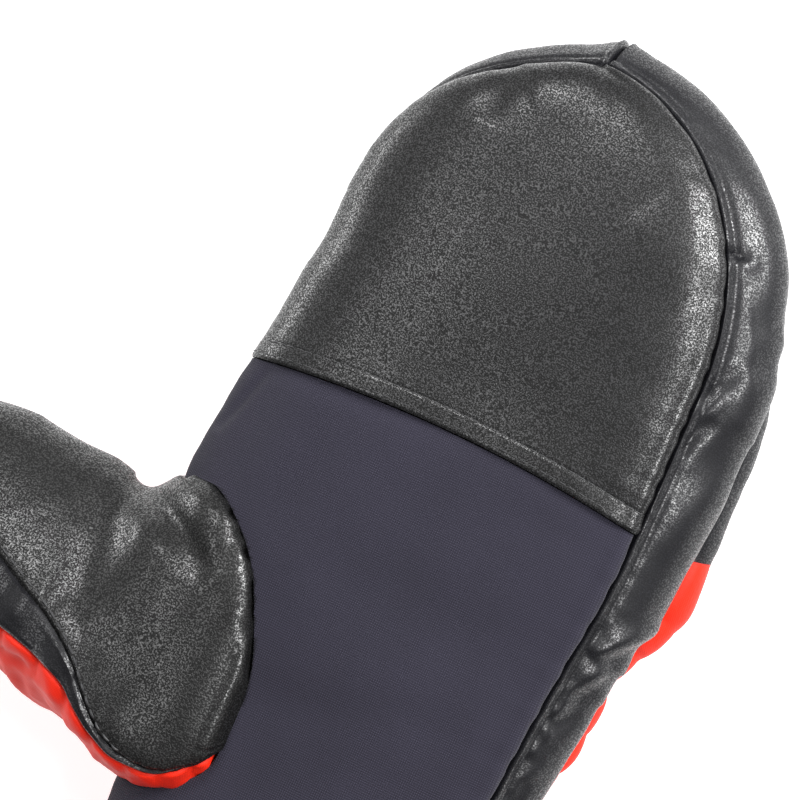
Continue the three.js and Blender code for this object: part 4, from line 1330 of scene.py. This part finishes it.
# %% Pieces, finishes and nodes
FINISHES = {
    "palm_fabric": palm_fabric,
    "cap_leather": cap_leather,
    "side_leather": side_leather,
    "thumb_leather": thumb_leather,
    "shell_fabric": shell_fabric,
}
PIECES = [
    {"piece": palm_panel, "finish": "palm_fabric", "node": "palm_panel", "fill": 0.4},
    {"piece": fingertips, "finish": "cap_leather", "node": "fingertip_cap", "fill": 0.6},
    {"piece": outer_side, "finish": "side_leather", "node": "outer_side_panel", "fill": 0.6},
    {"piece": inner_side, "finish": "side_leather", "node": "inner_side_panel", "fill": 0.5},
    {"piece": back_tip, "finish": "side_leather", "node": "back_fingertip_panel", "fill": 0.6},
    {"piece": shell, "finish": "shell_fabric", "node": "back_shell", "fill": 0.7},
    {"piece": thumb_front, "finish": "thumb_leather", "node": "thumb_front", "fill": 0.6},
    {"piece": thumb_strip, "finish": "side_leather", "node": "thumb_side_strip", "fill": 0.5},
    {"piece": thumb_pad, "finish": "shell_fabric", "node": "thumb_back", "fill": 0.7},
    {"piece": cuff_padding, "finish": "shell_fabric", "node": "cuff", "fill": 0.6},
]
STITCHING = [
    {"piece": hem_stitches, "slot": "cap_leather"},
    {"piece": thumb_stitches, "slot": "thumb_leather"},
    {"piece": cuff_stitches, "slot": "shell_fabric"},
]
for entry in PIECES:
    piece = entry["piece"]
    piece.data.materials.append(FINISHES[entry["finish"]])
    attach(piece, "root")
    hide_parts(entry["node"])
for entry in STITCHING:
    entry["piece"].data.materials.append(thread)
    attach(entry["piece"], "root")
triangles = {e["piece"].name: sum(len(p.vertices) - 2 for p in e["piece"].data.polygons)
             for e in PIECES + STITCHING}
print("triangles:", triangles, "in all", sum(triangles.values()))

# %% [markdown]
# ## Floor and studio light
# The mitten was photographed on white, under soft light. A pale floor and five soft boxes do the
# same. The strongest stands to the right and picks out the side panel, and one to the lower right
# follows the piping. A low one on the left shines along the thumb and the edge of the fingertips,
# and two weak ones, at the top and high on the left, fill in.


# %% Floor, lights and world
FLOOR_REACH, FLOOR_BELOW = 5, 0.0002
LIGHT_AWAY = 1.2
SOFT_BOXES = [
    {"name": "right_box", "bearing": 26, "height": 32, "width": 0.4, "tall": 0.5, "power": 24},
    {"name": "upper_box", "bearing": -12, "height": 52, "width": 0.4, "tall": 0.3, "power": 14},
    {"name": "left_box", "bearing": 148, "height": 6, "width": 0.6, "tall": 0.25, "power": 7},
    {"name": "top_box", "bearing": 96, "height": 52, "width": 0.5, "tall": 0.3, "power": 9},
    {"name": "over_box", "bearing": 165, "height": 64, "width": 0.6, "tall": 0.4, "power": 4},
]


def make_floor():
    """White paper, which glows a little so that it stays white at every angle."""
    mesh = bpy.data.meshes.new("floor")
    around = ((-1, -1), (1, -1), (1, 1), (-1, 1))
    corners = [(x * FLOOR_REACH, y * FLOOR_REACH, 0) for x, y in around]
    mesh.from_pydata(corners, [], [[0, 1, 2, 3]])
    floor = bpy.data.objects.new("floor", mesh)
    floor.location.z = -FLOOR_BELOW
    bpy.context.scene.collection.objects.link(floor)
    material, surface, place = new_finish("floor_paper")
    tone = noise(place, size=0.4, detail=2)
    varying = {"Base Color": blend_colours(tone, (0.58, 0.58, 0.58), (0.62, 0.62, 0.62))}
    glow = {"Roughness": 0.9, "Emission Color": (1, 1, 1, 1), "Emission Strength": 0.7}
    floor.data.materials.append(dress(material, surface, varying, glow))


def soft_box(name, bearing, height, width, tall, power):
    """A rectangular light that looks at the mitten. Its bearing is measured in the picture,
    anticlockwise from its right, and its height is above the floor, both in degrees."""
    data = bpy.data.lights.new(name, "AREA")
    data.shape = "RECTANGLE"
    data.size, data.size_y, data.energy = width, tall, power
    turn, rise = math.radians(bearing), math.radians(height)
    flat_right = np.array([math.cos(TURN), math.sin(TURN), 0])
    flat_up = np.array([-math.sin(TURN), math.cos(TURN), 0])
    towards = math.cos(rise) * (math.cos(turn) * flat_right + math.sin(turn) * flat_up)
    towards[2] = math.sin(rise)
    light = bpy.data.objects.new(name, data)
    light.location = Vector(PHOTO_CENTRE * MM + LIGHT_AWAY * towards)
    light.rotation_euler = Vector(towards).to_track_quat("Z", "Y").to_euler()
    bpy.context.scene.collection.objects.link(light)


make_floor()
for box in SOFT_BOXES:
    soft_box(**box)
world = bpy.data.worlds.new("studio")
world.use_nodes = True
background = world.node_tree.nodes["Background"]
background.inputs["Color"].default_value = (1, 1, 1, 1)
background.inputs["Strength"].default_value = 0.2
bpy.context.scene.world = world
bpy.context.scene.view_settings.view_transform = "Standard"

# %% [markdown]
# ## The last update
# The dressed mitten must be as large as the model. Here the view layer is updated, so that every
# piece stands where it was put.

# %% Update the view layer
bpy.context.view_layer.update()
